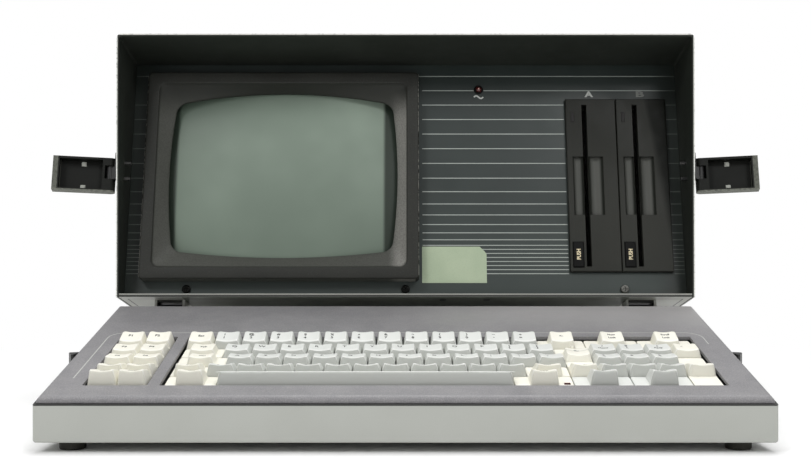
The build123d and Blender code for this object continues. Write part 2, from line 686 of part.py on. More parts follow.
def fan_rotor():
    """Hub and pitched blades, bored for the axle."""
    y0 = REAR_Y - SEAM - FAN_T + 3 + RUN
    y1 = REAR_Y - SEAM - RUN - 2
    at = (FAN_X, FAN_Z)
    rotor = rod("Y", FAN_HUB_R, y0, y1, at)
    length = FAN_SIZE / 2 - FAN_WALL - 1.5
    middle = (y0 + y1) / 2
    for blade in range(FAN_BLADES):
        vane = Pos(0, middle, 0) * Rot(38, 0, 0) * block(FAN_HUB_R - 2, length, -0.8, 0.8, -10, 10)
        rotor += Pos(FAN_X, 0, FAN_Z) * Rot(0, blade * 360 / FAN_BLADES, 0) * vane
    rotor -= rod("Y", FAN_AXLE_R + PIN_RUN, y0, y0 + 16, at)
    return rotor


def speaker():
    """Small loudspeaker on the bottom sheet in the tube's bay: basket, magnet and cone edge."""
    base = THIN + SEAM
    cone_l = 8.0
    body = rod("Z", SPEAKER_R, base, base + 4, SPEAKER_AT)
    body += Pos(SPEAKER_AT[0], SPEAKER_AT[1], base + 4 + cone_l / 2) * Cone(SPEAKER_R - 2, 12.0, cone_l)
    body += rod("Z", 14.0, base + 4 + cone_l, base + 12 + cone_l, SPEAKER_AT)
    return body


# ---- drives ----
def drive_left(number):
    """Left side of a drive, 0 for the left one."""
    return DRIVE_X + number * DRIVE_PITCH


def drive_face(number):
    """Moulded face: through slot, two finger scoops, and holes for the lamp and the button."""
    x0 = drive_left(number)
    y0 = RECESS - DRIVE_PROUD
    y1 = y0 + DRIVE_FACE_T
    face = block(x0, x0 + DRIVE_W, y0, y1, DRIVE_Z, DRIVE_Z + DRIVE_H)
    face = fillet(face.faces().sort_by(Axis.Y)[0].edges(), 0.8)
    slot = x0 + SLOT_X
    face -= block(slot - SLOT_W / 2, slot + SLOT_W / 2, y0, y1, DRIVE_Z + SLOT_Z0,
                  DRIVE_Z + DRIVE_H - SLOT_TOP)
    left_x = slot - SLOT_W / 2 - GRIP_LEFT_W / 2
    right_x = slot + SLOT_W / 2 + GRIP_RIGHT_W / 2
    scoops = ((left_x, GRIP_LEFT_W, GRIP_LEFT_DEPTH), (right_x, GRIP_RIGHT_W, GRIP_RIGHT_DEPTH))
    for x, width, depth in scoops:
        radius = ((width / 2) ** 2 + depth ** 2) / (2 * depth)
        centre = y0 + depth - radius
        face -= rod("Z", radius, DRIVE_Z + GRIP_Z0, DRIVE_Z + GRIP_Z0 + GRIP_H, (x, centre))
    face -= block(x0 + BUTTON_X, x0 + BUTTON_X + BUTTON_W, y0, y1, DRIVE_Z + BUTTON_Z,
                  DRIVE_Z + BUTTON_Z + BUTTON_H)
    lamp = (x0 + DRIVE_LAMP_X - SEAM, x0 + DRIVE_LAMP_X + DRIVE_LAMP_W + SEAM)
    face -= block(lamp[0], lamp[1], y0, y1, DRIVE_Z + DRIVE_LAMP_Z - SEAM,
                  DRIVE_Z + DRIVE_LAMP_Z + DRIVE_LAMP_H + SEAM)
    return face


def drive_button(number):
    """Eject button that slides in its hole."""
    x0 = drive_left(number) + BUTTON_X
    z0 = DRIVE_Z + BUTTON_Z
    y0 = RECESS - DRIVE_PROUD - BUTTON_PROUD
    y1 = RECESS - DRIVE_PROUD + DRIVE_FACE_T - BUTTON_TRAVEL - RUN
    button = block(x0 + RUN, x0 + BUTTON_W - RUN, y0, y1, z0 + RUN, z0 + BUTTON_H - RUN)
    return fillet(button.faces().sort_by(Axis.Y)[0].edges(), 0.8)


def drive_body(number):
    """Cast chassis: an open tray with the disk way, the spindle boss and a motor board."""
    x0 = drive_left(number) + 0.5
    x1 = drive_left(number) + DRIVE_W - 0.5
    y0 = RECESS - DRIVE_PROUD + DRIVE_FACE_T + SEAM
    y1 = y0 + DRIVE_D
    z0 = DRIVE_Z + 0.6
    z1 = DRIVE_Z + DRIVE_H - 0.6
    chassis = block(x0, x1, y0, y1, z0, z1)
    way = x0 - 0.5 + SLOT_X
    chassis -= block(way - DISK_WAY, way + DISK_WAY, y0, y1 - 20, z0 + 3, z1 - 3)
    chassis -= block(way + DISK_WAY + 4, x1 - 5, y0 + 6, y1 - 6, z0 + 6, z1 - 6)
    chassis -= block(x1 - 5, x1, y0 + 20, y1 - 20, z0 + 18, z1 - 18)
    return chassis


def drive_cage():
    """Folded carrier of both drives, flanged to the front panel and standing on the bottom sheet."""
    x0 = DRIVE_X - SEAM
    x1 = drive_left(1) + DRIVE_W + SEAM
    y0 = PANEL_BACK
    y1 = PANEL_BACK + DRIVE_D - 20
    z0 = DRIVE_Z - SEAM
    z1 = DRIVE_Z + DRIVE_H + SEAM
    cage = block(x0 - THIN, x1 + THIN, y0, y1, z0 - THIN, z1 + THIN)
    cage -= block(x0, x1, y0, y1, z0, z1)
    cage += block(x1, x1 + THIN, y0 + 10, y1, THIN, z0 - THIN)
    cage += block(x1 - 3.0, x1 + THIN, y0 + 10, y1, THIN, 2 * THIN)
    cage += block(x0 - THIN - 12, x0 - THIN, y0, y0 + THIN, z0 + 10, z1 - 10)
    return cage


def indicator_lamps():
    """Power lamp in the panel and the two activity lamps in the drive faces."""
    lamps = []
    dome = rod("Y", POWER_LAMP_R, RECESS - 0.6, PANEL_BACK + 6, (POWER_LAMP_X, POWER_LAMP_Z))
    dome += Pos(POWER_LAMP_X, RECESS - 0.6, POWER_LAMP_Z) * Sphere(POWER_LAMP_R)
    dome += rod("Y", POWER_LAMP_R + 1.2, PANEL_BACK, PANEL_BACK + 2, (POWER_LAMP_X, POWER_LAMP_Z))
    lamps.append(dome)
    for number in range(2):
        x = drive_left(number) + DRIVE_LAMP_X
        z = DRIVE_Z + DRIVE_LAMP_Z
        y0 = RECESS - DRIVE_PROUD - 0.2
        lamps.append(block(x, x + DRIVE_LAMP_W, y0, y0 + DRIVE_FACE_T, z, z + DRIVE_LAMP_H))
    return group(lamps)


# ---- screws ----
def screw(radius, head_t, length):
    """Pan-head screw with a cross recess, its head from z = 0 up and its shank below."""
    head = Pos(0, 0, head_t / 2) * Cylinder(radius, head_t)
    head = fillet(head.faces().sort_by(Axis.Z)[-1].edges(), head_t * 0.45)
    for turn in (0, 90):
        head -= Rot(0, 0, turn) * block(-radius * 0.55, radius * 0.55, -0.4, 0.4, head_t * 0.45, head_t)
    return head + Pos(0, 0, -length / 2) * Cylinder(SCREW_SHANK_R, length)


def panel_screws():
    """Three screws along the foot of the front panel."""
    made = []
    for x in (-PANEL_SCREW_X, 0, PANEL_SCREW_X):
        made.append(Pos(x, RECESS, PANEL_SCREW_Z) * Rot(90, 0, 0) * screw(SCREW_HEAD_R, 2.4, 8))
    return group(made)


def cover_screws():
    """Screws in the case sides: three along each foot and two through each latch bracket."""
    made = []
    for side in (-1, 1):
        for y, z in side_screws():
            at = Pos(side * CASE_W / 2, y, z) * Rot(0, side * 90, 0)
            made.append(at * screw(SCREW_HEAD_R, 2.0, 6))
        for y, z in bracket_screws():
            at = Pos(side * (CASE_W / 2 + BRACKET_T), y, z) * Rot(0, side * 90, 0)
            made.append(at * screw(3.0, 1.6, 9))
    return group(made)


# ---- latches ----
def latch_brackets():
    """Plate, knuckle and pin of each side latch."""
    made = []
    for side in (-1, 1):
        outer = CASE_W / 2
        z0 = BRACKET_Z - BRACKET_H / 2
        z1 = BRACKET_Z + BRACKET_H / 2
        plate = block(outer, outer + BRACKET_T, LATCH_PIN_Y - 7, LATCH_PIN_Y + 14, z0, z1)
        plate += block(outer, LATCH_PIN_X, LATCH_PIN_Y - 2.6, LATCH_PIN_Y + 2.6, KNUCKLE[0], KNUCKLE[1])
        plate += rod("Z", KNUCKLE_R, KNUCKLE[0], KNUCKLE[1], (LATCH_PIN_X, LATCH_PIN_Y))
        plate += rod("Z", LATCH_PIN_R, LATCH_Z - LATCH_H / 2 + 1, LATCH_Z + LATCH_H / 2 - 1,
                     (LATCH_PIN_X, LATCH_PIN_Y))
        for y, z in bracket_screws():
            plate -= rod("X", SCREW_SHANK_R + SEAM, outer, outer + BRACKET_T, (y, z))
        made.append(plate if side > 0 else mirror(plate, Plane.YZ))
    return group(made)


def latch(side):
    """Draw-latch lever: a shallow channel with an end lip, open towards the case when shut."""
    z0 = LATCH_Z - LATCH_H / 2
    z1 = LATCH_Z + LATCH_H / 2
    half = LATCH_T / 2
    heel = 4.4
    way = KNUCKLE_R + RUN + 0.5
    tray = way + LATCH_WALL
    lever = block(-heel, LATCH_L, -half, half, z0, z1)
    lever = fillet(lever.edges().filter_by(Axis.Z).sort_by(Axis.X)[0:2], 4.2)
    lever -= block(tray, LATCH_L - 5.0, -half, half - LATCH_WALL, z0 + LATCH_WALL, z1 - LATCH_WALL)
    lever -= block(-heel, way, -half, KNUCKLE_R + RUN, KNUCKLE[0] - RUN, KNUCKLE[1] + RUN)
    lever -= rod("Z", LATCH_PIN_R + PIN_RUN, z0 + 1 - RUN, z1 - 1 + RUN, (0, 0))
    for z in (LATCH_Z - 9.5, LATCH_Z + 9.5):
        lever += rod("Y", 1.6, half - LATCH_WALL - 1.2, half - LATCH_WALL, (LATCH_L * 0.48, z))
    lever = Pos(LATCH_PIN_X, LATCH_PIN_Y, 0) * Rot(0, 0, -LATCH_OPEN) * lever
    return lever if side > 0 else mirror(lever, Plane.YZ)


# ---- stand, feet, handle ----
def stand_brackets():
    """Two folded clevises under the bottom sheet, each with its pin."""
    made = []
    cheek = 2.0
    for side in (-1, 1):
        x0 = side * LEG_X - LEG_W / 2 - RUN - cheek
        x1 = side * LEG_X + LEG_W / 2 + RUN + cheek
        clevis = block(x0, x1, STAND_Y - 9, STAND_Y + 9, -STAND_DROP - 5, 0)
        clevis -= block(x0 + cheek, x1 - cheek, STAND_Y - 9, STAND_Y + 9, -STAND_DROP - 5, -1.5)
        clevis += rod("X", LEG_PIN_R, x0, x1, (STAND_Y, -STAND_DROP))
        made.append(clevis)
    return group(made)


def front_stand():
    """Two flat legs and the bar that joins them at the table."""
    length = PIVOT_Z / math.cos(math.radians(LEG_LEAN)) + LEG_T
    stand = None
    for side in (-1, 1):
        x0 = side * LEG_X - LEG_W / 2
        x1 = side * LEG_X + LEG_W / 2
        leg = block(x0, x1, -LEG_T / 2, LEG_T / 2, -length, 0)
        leg += rod("X", STAND_DROP - 2.2, x0, x1, (0, 0))
        stand = leg if stand is None else stand + leg
    bar_z = STAND_BAR / 2 + LEG_T - length + 2
    stand += block(-LEG_X, LEG_X, -LEG_T / 2 + 1, LEG_T / 2, bar_z - STAND_BAR, bar_z + STAND_BAR)
    for side in (-1, 1):
        x0 = side * LEG_X - LEG_W / 2
        x1 = side * LEG_X + LEG_W / 2
        stand -= rod("X", LEG_PIN_R + PIN_RUN, x0, x1, (0, 0))
    stand = Pos(0, PIVOT_Y, PIVOT_Z) * Rot(-LEG_LEAN, 0, 0) * stand
    return stand & block(-CASE_W, CASE_W, 0, 2 * CASE_W, 0, CASE_H)


def rear_feet():
    """Two rubber feet under the rear edge, worn flat to the table."""
    made = []
    for side in (-1, 1):
        foot = rod("Z", REAR_FOOT_R, -30, 0, (side * REAR_FOOT_X, REAR_FOOT_Y))
        placed = CASE * foot
        made.append(placed & block(-CASE_W, CASE_W, 0, 2 * CASE_D, 0, CASE_H))
    return group(made)


def handle_brackets():
    """Two ears on the rear panel, each with its pin."""
    made = []
    for side in (-1, 1):
        x = side * HANDLE_W / 2
        ear = block(x - 12, x + 12, CASE_D, CASE_D + 2, HANDLE_Z - 14, HANDLE_Z + 14)
        inner = x - side * (6 + RUN + 3)
        near = x - side * (6 + RUN)
        cheek = block(min(inner, near), max(inner, near), CASE_D, CASE_D + HANDLE_OFF + 5,
                      HANDLE_Z - 6, HANDLE_Z + 6)
        ear += cheek
        tip = x + side * 5.0
        ear += rod("X", HANDLE_PIN_R, min(near, tip), max(near, tip), (CASE_D + HANDLE_OFF, HANDLE_Z))
        made.append(ear)
    return group(made)


def carry_handle():
    """Stirrup handle: two arms and a rounded grip, hanging plumb behind the rear panel."""
    pivot = (CASE_D + HANDLE_OFF, HANDLE_Z)
    grip_z = HANDLE_Z - HANDLE_DROP
    half = HANDLE_GRIP / 2
    grip = block(-HANDLE_W / 2, HANDLE_W / 2, pivot[0] - half, pivot[0] + half, grip_z - half, grip_z + half)
    grip = fillet(grip.edges().filter_by(Axis.X), half - 1.5)
    handle = grip
    for side in (-1, 1):
        x0 = side * HANDLE_W / 2 - 6
        x1 = side * HANDLE_W / 2 + 6
        arm = block(x0, x1, pivot[0] - 5, pivot[0] + 5, grip_z - half, HANDLE_Z)
        arm += rod("X", 7.0, x0, x1, pivot)
        handle += arm
    for side in (-1, 1):
        x = side * HANDLE_W / 2
        ends = (x - side * 6, x + side * (5.0 + RUN))
        handle -= rod("X", HANDLE_PIN_R + PIN_RUN, min(ends), max(ends), pivot)
    return Pos(0, *pivot) * Rot(TILT, 0, 0) * Pos(0, -pivot[0], -pivot[1]) * handle


# ---- keyboard ----
def kb_side(z_low, z_rim, y0, y1):
    """Wedge outline between two depths, from z_low up to a rim that rises with the slant."""
    return [(y0, z_low), (y0, z_rim + y0 * RISE), (y1, z_rim + y1 * RISE), (y1, z_low)]


def keyboard_pan():
    """Wedge tray with pillars for the switch board."""
    rim = KB_FOOT_H + KB_WALL_FRONT
    pan = side_prism(kb_side(KB_FOOT_H, rim, 0, KB_D), -CASE_W / 2, CASE_W / 2)
    pan = fillet(pan.edges().filter_by(Axis.X).group_by(Axis.Z)[0], KB_HEM_R)
    pan = fillet(pan.edges().filter_by(Axis.Z), 2.0)
    inner = CASE_W / 2 - KB_WALL
    cavity = kb_side(KB_FOOT_H + KB_WALL, rim + CASE_H, KB_WALL, KB_D - KB_WALL)
    pan -= side_prism(cavity, -inner, inner)
    floor_z = KB_FOOT_H + KB_WALL - 1
    room = block(-inner, inner, KB_WALL, KB_D - KB_WALL, floor_z, CASE_H)
    for x in (-212.0, -70.0, 70.0, 212.0):
        for s in (WELL_S0 + 3, WELL_S1 - 3):
            post = block(x - 4, x + 4, s - 4, s + 4, -CASE_H, SWITCH_N - THIN)
            pan += (PLATE * post) & room
    opening = (2 * CABLE_HALF[0], 2 * CABLE_HALF[1])
    pan -= fitting_block(CABLE_X, CABLE_Z, opening, KB_D - KB_WALL, KB_D, 2)
    return pan


def keyboard_plate():
    """Top cover: a rounded slab on the pan's rim, hollow below, with two key wells."""
    half = CASE_W / 2 - PLATE_INSET
    depth = PLATE_RISE * math.cos(math.radians(SLANT)) - SEAM
    s0 = PLATE_INSET
    s1 = (KB_D - PLATE_INSET) / math.cos(math.radians(SLANT))
    plate = block(-half, half, s0, s1, -depth, 0)
    plate = fillet(plate.faces().sort_by(Axis.Z)[-1].edges(), PLATE_EDGE_R)
    rim = KB_WALL - PLATE_INSET + 1.2
    plate -= block(-half + rim, half - rim, s0 + rim, s1 - rim, -depth, -PLATE_T)
    for x0, x1 in wells():
        well = block(x0, x1, WELL_S0, WELL_S1, -depth, 0)
        plate -= fillet(well.edges().filter_by(Axis.Z), 1.0)
    return plate


def wells():
    """Left and right side of each key well."""
    func = (FUNC_X - WELL_GAP / 2, FUNC_X + 2 * UNIT + WELL_GAP / 2)
    main = (MAIN_X - WELL_GAP / 2, MAIN_X + 18.75 * UNIT + WELL_GAP / 2)
    return [func, main]


def switch_board():
    """Steel sheet with one switch housing for each key, bored for the key's stem."""
    left = wells()[0][0] - 12
    right = wells()[1][1] + 12
    board = block(left, right, WELL_S0 - 3, WELL_S1 + 3, SWITCH_N - THIN, SWITCH_N)
    holes = []
    housings = []
    for x, s in stem_places():
        housing = block(x - HOUSING / 2, x + HOUSING / 2, s - HOUSING / 2, s + HOUSING / 2,
                        SWITCH_N, SWITCH_N + HOUSING_H)
        way = STEM / 2 + SEAM
        housings.append(housing - block(x - way, x + way, s - way, s + way, SWITCH_N, SWITCH_N + HOUSING_H))
        holes.append(block(x - way, x + way, s - way, s + way, SWITCH_N - THIN, SWITCH_N))
    board -= holes
    board += housings
    return board


def key_centre(row, column, width, rows=1):
    """(x, s) of the middle of a key that starts at a column and is so many units wide."""
    x = MAIN_X + (column + width / 2) * UNIT
    s = ROW_S[row] - (rows - 1) * UNIT / 2
    return x, s


# Keys of the main block: row (rear row 0), left edge in units, width in units.
NUMBER_KEYS = [(0, 1 + n, 1) for n in range(12)]
UPPER_KEYS = [(1, 1.5 + n, 1) for n in range(12)]
HOME_KEYS = [(2, 1.75 + n, 1) for n in range(12)]
LOWER_KEYS = [(3, 1.25 + n, 1) for n in range(11)]
KEYPAD_KEYS = [(row, 14.75 + n, 1) for row in (1, 2, 3) for n in range(3)] + [(4, 13.75, 2), (4, 15.75, 2)]
SHIFT_KEYS = [(3, 0, 1.25), (3, 12.25, 1.5)]
SIDE_KEYS = [(0, 0, 1), (0, 13, 1.75), (0, 14.75, 2), (0, 16.75, 2), (1, 0, 1.5), (1, 17.75, 1),
             (2, 0, 1.75), (3, 13.75, 1), (4, 0, 1.75)]
CAPS_KEY = (4, 11.75, 2)
SPACE_KEY = (4, 1.75, 10)
ENTER_TOP = (1, 13.5, 1.25)
ENTER_LOW = (2, 13.75, 1)
PLUS_COLUMN = 17.75
SPACE_STEMS = (-60.0, 0.0, 60.0)
BAR_TOP = 5               # its place in ROW_LIFT and ROW_TIP


def function_places():
    """(x, row) of the ten function keys."""
    return [(FUNC_X + (column + 0.5) * UNIT, row) for row in range(5) for column in range(2)]


def stem_places():
    """(x, s) of every key stem."""
    places = [(x, ROW_S[row]) for x, row in function_places()]
    letters = NUMBER_KEYS + UPPER_KEYS + HOME_KEYS + LOWER_KEYS
    for key in letters + KEYPAD_KEYS + SHIFT_KEYS + SIDE_KEYS + [CAPS_KEY]:
        places.append(key_centre(*key))
    x, s = key_centre(*SPACE_KEY)
    places += [(x + step, s) for step in SPACE_STEMS]
    x, s = key_centre(*ENTER_LOW)
    places.append((x, (ROW_S[1] + ROW_S[2]) / 2))
    places.append((key_centre(3, PLUS_COLUMN, 1)[0], ROW_S[3]))
    return places


def cap(row, width=UNIT - KEY_GAP, depth=UNIT - KEY_GAP, top=None):
    """Dished keytop of one row's slope about its own centre, with a stem below."""
    top_w, top_d = top if top else KEY_TOP
    base = RectangleRounded(width, depth, 1.2)
    foot = Plane.XY.offset(-KEY_SKIRT)
    waist = Plane.XY.offset(KEY_STEP)
    crown = Plane(origin=(0, -0.4, ROW_LIFT[row]), z_dir=(0, 0, 1)).rotated((ROW_TIP[row], 0, 0))
    skirt = extrude(foot * base, KEY_SKIRT + KEY_STEP)
    upper = loft([waist * base, crown * RectangleRounded(top_w, top_d, 1.6)])
    key = skirt + upper
    sag = 0.9
    radius = (top_w / 2) ** 2 / (2 * sag) + sag / 2
    trough = crown * Pos(0, 0, radius - sag) * Rot(90, 0, 0) * Cylinder(radius, 3 * top_d)
    return key - trough + stem()


def stem():
    """Square post of a key."""
    return block(-STEM / 2, STEM / 2, -STEM / 2, STEM / 2, -KEY_SKIRT - STEM_L, -KEY_SKIRT)


def ledge(width, depth):
    """Flat base of a wide key."""
    base = RectangleRounded(width - KEY_GAP, depth - KEY_GAP, 1.2)
    return extrude(Plane.XY.offset(-KEY_SKIRT) * base, KEY_SKIRT + KEY_STEP)


UNIT_CAPS = [cap(row) for row in range(5)]


def place_keys(keys):
    """Every key of a list on the plate, wide ones with their ledge."""
    made = []
    for row, column, width in keys:
        x, s = key_centre(row, column, width)
        key = Pos(x, s, 0) * UNIT_CAPS[row]
        if width > 1:
            key += Pos(x, s, 0) * ledge(width * UNIT, UNIT)
        made.append(key)
    return group(made)


def function_keys():
    """Two columns of plain keys on the left."""
    return group([Pos(x, ROW_S[row], 0) * UNIT_CAPS[row] for x, row in function_places()])


def space_bar():
    """Long bar with a rounded front edge and three stems."""
    row, column, width = SPACE_KEY
    x, s = key_centre(row, column, width)
    length = width * UNIT - KEY_GAP
    bar = cap(BAR_TOP, width=length, top=(length - 4.0, KEY_TOP[1]))
    for step in SPACE_STEMS:
        if step:
            bar += Pos(step, 0, 0) * stem()
    return Pos(x, s, 0) * bar


def enter_key():
    """Two-row key: wider at the rear row, with one cap over the middle."""
    x, s = key_centre(*ENTER_LOW)
    middle = (ROW_S[1] + ROW_S[2]) / 2
    base = Pos(x, middle, 0) * ledge(UNIT, 2 * UNIT)
    top_x, top_s = key_centre(*ENTER_TOP)
    base += Pos(top_x, top_s, 0) * ledge(ENTER_TOP[2] * UNIT, UNIT)
    return base + Pos(x, middle, 0) * UNIT_CAPS[1]


def plus_key():
    """Three-row key with its cap at the middle row."""
    x = key_centre(3, PLUS_COLUMN, 1)[0]
    base = Pos(x, ROW_S[3], 0) * ledge(UNIT, 3 * UNIT)
    return base + Pos(x, ROW_S[3], 0) * UNIT_CAPS[3]


def caps_lamp():
    """Lamp window on the ledge of the caps lock key."""
    x, s = key_centre(*CAPS_KEY)
    return block(x + 12.6, x + 16.6, s - 5.8, s - 3.4, KEY_STEP, KEY_STEP + 0.5)


def keyboard_feet():
    """Four rubber feet."""
    made = []
    for x in (-KB_FOOT_X, KB_FOOT_X):
        for y in (17.0, KB_D - 17.0):
            foot = rod("Z", KB_FOOT_R, 0, KB_FOOT_H, (x, y))
            made.append(fillet(foot.faces().sort_by(Axis.Z)[0].edges(), 1.0))
    return group(made)


def keyboard_catches():
    """Wedge on each side of the pan for the case's latch."""
    made = []
    rim = KB_FOOT_H + KB_WALL_FRONT + CATCH_Y * RISE
    plane = Plane(origin=(0, 0, rim - 14), x_dir=(1, 0, 0), z_dir=(0, 0, 1))
    x0 = CASE_W / 2
    outline = Polyline((x0, CATCH_Y - 9), (x0 + 1.6, CATCH_Y - 9), (x0 + CATCH_PROUD, CATCH_Y + 3),
                       (x0 + CATCH_PROUD, CATCH_Y + 6), (x0, CATCH_Y + 9), close=True)
    wedge = extrude(plane * make_face(outline), CATCH_T)
    made.append(wedge)
    made.append(mirror(wedge, Plane.YZ))
    return group(made)


def cable_socket():
    """Socket for the coiled keyboard cable, in the pan's rear wall."""
    opening = (2 * CABLE_HALF[0], 2 * CABLE_HALF[1])
    deep = KB_D - 16
    body = fitting_block(CABLE_X, CABLE_Z, opening, deep, KB_D, 2 - SEAM)
    body += fitting_block(CABLE_X, CABLE_Z, opening, deep, KB_D - KB_WALL, 5)
    return body - fitting_block(CABLE_X, CABLE_Z, opening, deep + 4, KB_D, 0)


def paper_sticker():
    """Blank paper label on the front panel."""
    z = STICKER_Z
    return block(STICKER_X, STICKER_X + STICKER[0], RECESS - STICKER_T, RECESS, z, z + STICKER[1])


CASE_PARTS = {
    "outer_cover": outer_cover, "bottom_pan": bottom_pan, "front_panel": front_panel,
    "rear_panel": rear_panel, "bulkhead": bulkhead, "crt_bezel": crt_bezel, "crt_tube": crt_tube,
    "crt_band": crt_band,
    "deflection_yoke": deflection_yoke, "neck_board": neck_board, "monitor_board": monitor_board,
    "power_supply": power_supply, "main_board": main_board, "expansion_cards": expansion_cards,
    "rear_sockets": rear_sockets, "mains_inlet": mains_inlet, "power_switch": power_switch,
    "brightness_knob": brightness_knob, "brightness_control": brightness_control,
    "fan_housing": fan_housing, "fan_rotor": fan_rotor, "speaker": speaker, "drive_cage": drive_cage,
    "indicator_lamps": indicator_lamps, "panel_screws": panel_screws, "cover_screws": cover_screws,
    "latch_brackets": latch_brackets, "stand_brackets": stand_brackets, "handle_brackets": handle_brackets,
    "carry_handle": carry_handle, "paper_sticker": paper_sticker,
}
for node, make in CASE_PARTS.items():
    write(node, make(), CASE)
for number, letter in enumerate("ab"):
    write(f"drive_{letter}_face", drive_face(number), CASE)
    write(f"drive_{letter}_body", drive_body(number), CASE)
    write(f"drive_{letter}_button", drive_button(number), CASE)
write("latch_left", latch(-1), CASE)
write("latch_right", latch(1), CASE)
write("front_stand", front_stand())
write("rear_feet", rear_feet())

PLATE_PARTS = {
    "keyboard_plate": keyboard_plate(), "switch_board": switch_board(), "function_keys": function_keys(),
    "number_keys": place_keys(NUMBER_KEYS), "upper_letter_keys": place_keys(UPPER_KEYS),
    "home_letter_keys": place_keys(HOME_KEYS), "lower_letter_keys": place_keys(LOWER_KEYS),
    "keypad_keys": place_keys(KEYPAD_KEYS), "shift_keys": place_keys(SHIFT_KEYS),
    "control_keys": place_keys(SIDE_KEYS), "caps_lock_key": place_keys([CAPS_KEY]), "caps_lamp": caps_lamp(),
    "space_bar": space_bar(), "enter_key": enter_key(), "plus_key": plus_key(),
}
for node, shape in PLATE_PARTS.items():
    write(node, shape, PLATE)
write("keyboard_pan", keyboard_pan())
write("keyboard_feet", keyboard_feet())
write("keyboard_catches", keyboard_catches())
write("cable_socket", cable_socket())
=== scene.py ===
import bpy
import numpy as np
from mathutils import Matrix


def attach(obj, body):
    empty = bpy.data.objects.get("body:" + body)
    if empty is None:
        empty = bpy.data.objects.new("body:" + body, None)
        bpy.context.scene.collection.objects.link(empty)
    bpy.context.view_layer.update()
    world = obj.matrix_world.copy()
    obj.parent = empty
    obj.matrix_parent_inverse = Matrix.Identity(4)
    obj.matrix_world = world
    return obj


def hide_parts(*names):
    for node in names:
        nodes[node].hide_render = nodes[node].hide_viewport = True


# %% [markdown]
# This lesson dresses a luggable computer from the 1980s: a wide metal case that leans back on a
# fold-down stand, and a wedge keyboard that stands in front of it and latches on as its lid.
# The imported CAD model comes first. It says where every piece lies, and the new pieces further down
# repeat the sizes that it was built from.

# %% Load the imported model
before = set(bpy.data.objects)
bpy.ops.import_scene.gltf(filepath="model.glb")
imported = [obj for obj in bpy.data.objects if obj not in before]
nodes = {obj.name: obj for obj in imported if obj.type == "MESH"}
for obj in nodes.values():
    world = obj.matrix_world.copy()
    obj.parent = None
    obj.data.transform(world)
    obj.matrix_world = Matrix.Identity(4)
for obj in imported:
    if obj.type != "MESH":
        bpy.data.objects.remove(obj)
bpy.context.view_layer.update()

# %% [markdown]
# Two slanted frames make the rest easy to say. In the case's frame, X is right, Y is depth behind
# the lower edge of the mouth, and Z is height above the underside. In the plate's frame, S climbs the
# keyboard's slope from its front edge, and N points out of the plate. Sizes are written in
# millimetres and turned to metres only here.

# %% The two slanted frames
TILT = np.radians(12.9)
SLANT = np.radians(12.5)
CASE_W, CASE_H = 457.2, 203.2
ROOF = 370.6
CASE_D = ROOF - CASE_H * np.tan(SLANT)  # behind the mouth's lower edge, which lies behind the roof's
MOUTH_Y, MOUTH_Z = 200.0, 85.2
MIDDLE_Y = (MOUTH_Y + CASE_D * np.cos(TILT) + CASE_H * np.sin(TILT)) / 2
PLATE_Z, PAN_RIM = 33.9, 29.5
UNIT = 19.05  # pitch of the keys
WELL_REAR = 121.1


def in_case(x, y, z):
    """World point of a case point: turned back by the tilt, then moved to the mouth's lower edge."""
    x, y, z = np.broadcast_arrays(x, y, z)
    depth = MOUTH_Y - MIDDLE_Y + y * np.cos(TILT) + z * np.sin(TILT)
    height = MOUTH_Z - y * np.sin(TILT) + z * np.cos(TILT)
    return np.stack([x, depth, height], -1) / 1000


def on_plate(x, s, n):
    """World point of a plate point: s along the slope, n out of it."""
    x, s, n = np.broadcast_arrays(x, s, n)
    depth = -MIDDLE_Y + s * np.cos(SLANT) - n * np.sin(SLANT)
    height = PLATE_Z + s * np.sin(SLANT) + n * np.cos(SLANT)
    return np.stack([x, depth, height], -1) / 1000


print("mouth at", in_case(0, 0, 0), "plate's front edge at", on_plate(0, 0, 0))

# %% [markdown]
# The camera comes before the looks, because everything is judged through it. The photograph was
# taken level, with the keyboard's keys just below the eye, so the lines of the case stay upright.

# %% Camera, floor and light
scene = bpy.context.scene
scene.view_settings.view_transform = "Standard"
LENS_MM, SENSOR_MM = 50.0, 36.0
EYE_BACK, EYE_HIGH, EYE_SHIFT = 0.689, 0.1321, 0.0006
camera_data = bpy.data.cameras.new("camera")
camera_data.lens = LENS_MM
camera_data.sensor_width = SENSOR_MM
camera_data.shift_y = EYE_SHIFT
camera = bpy.data.objects.new("camera", camera_data)
camera.location = (0.0, -EYE_BACK - MIDDLE_Y / 1000, EYE_HIGH)
camera.rotation_euler = (np.pi / 2, 0, 0)
scene.collection.objects.link(camera)
scene.camera = camera


def area_light(name, place, aim, size, watts):
    """A square soft light at a place, turned so that its -Z axis looks at the aim."""
    data = bpy.data.lights.new(name, "AREA")
    data.size = size
    data.energy = watts
    light = bpy.data.objects.new(name, data)
    away = np.array(place, float) - np.array(aim, float)
    flat = np.hypot(away[0], away[1])
    light.location = place
    light.rotation_euler = (np.arctan2(flat, away[2]), 0, np.arctan2(away[0], -away[1]))
    scene.collection.objects.link(light)


area_light("light_left", (-0.95, -1.25, 1.44), (0, 0, 0.15), 0.45, 10)
area_light("light_right", (0.75, -1.45, 1.25), (0, 0, 0.15), 0.45, 7)
area_light("light_above", (0.1, 0.25, 2.0), (0, 0, 0.1), 1.5, 30)

# %% [markdown]
# Shader maths reads best as plain expressions. A small class wraps one socket: adding or multiplying
# two of them adds a Math node. A second class builds a material, and has one method for every other
# kind of node.

# %% Material tools


def joined(operation, swapped=False):
    """A method that joins a signal and another value by one Math node."""

    def method(self, other):
        return self.math(operation, *((other, self) if swapped else (self, other)))

    return method


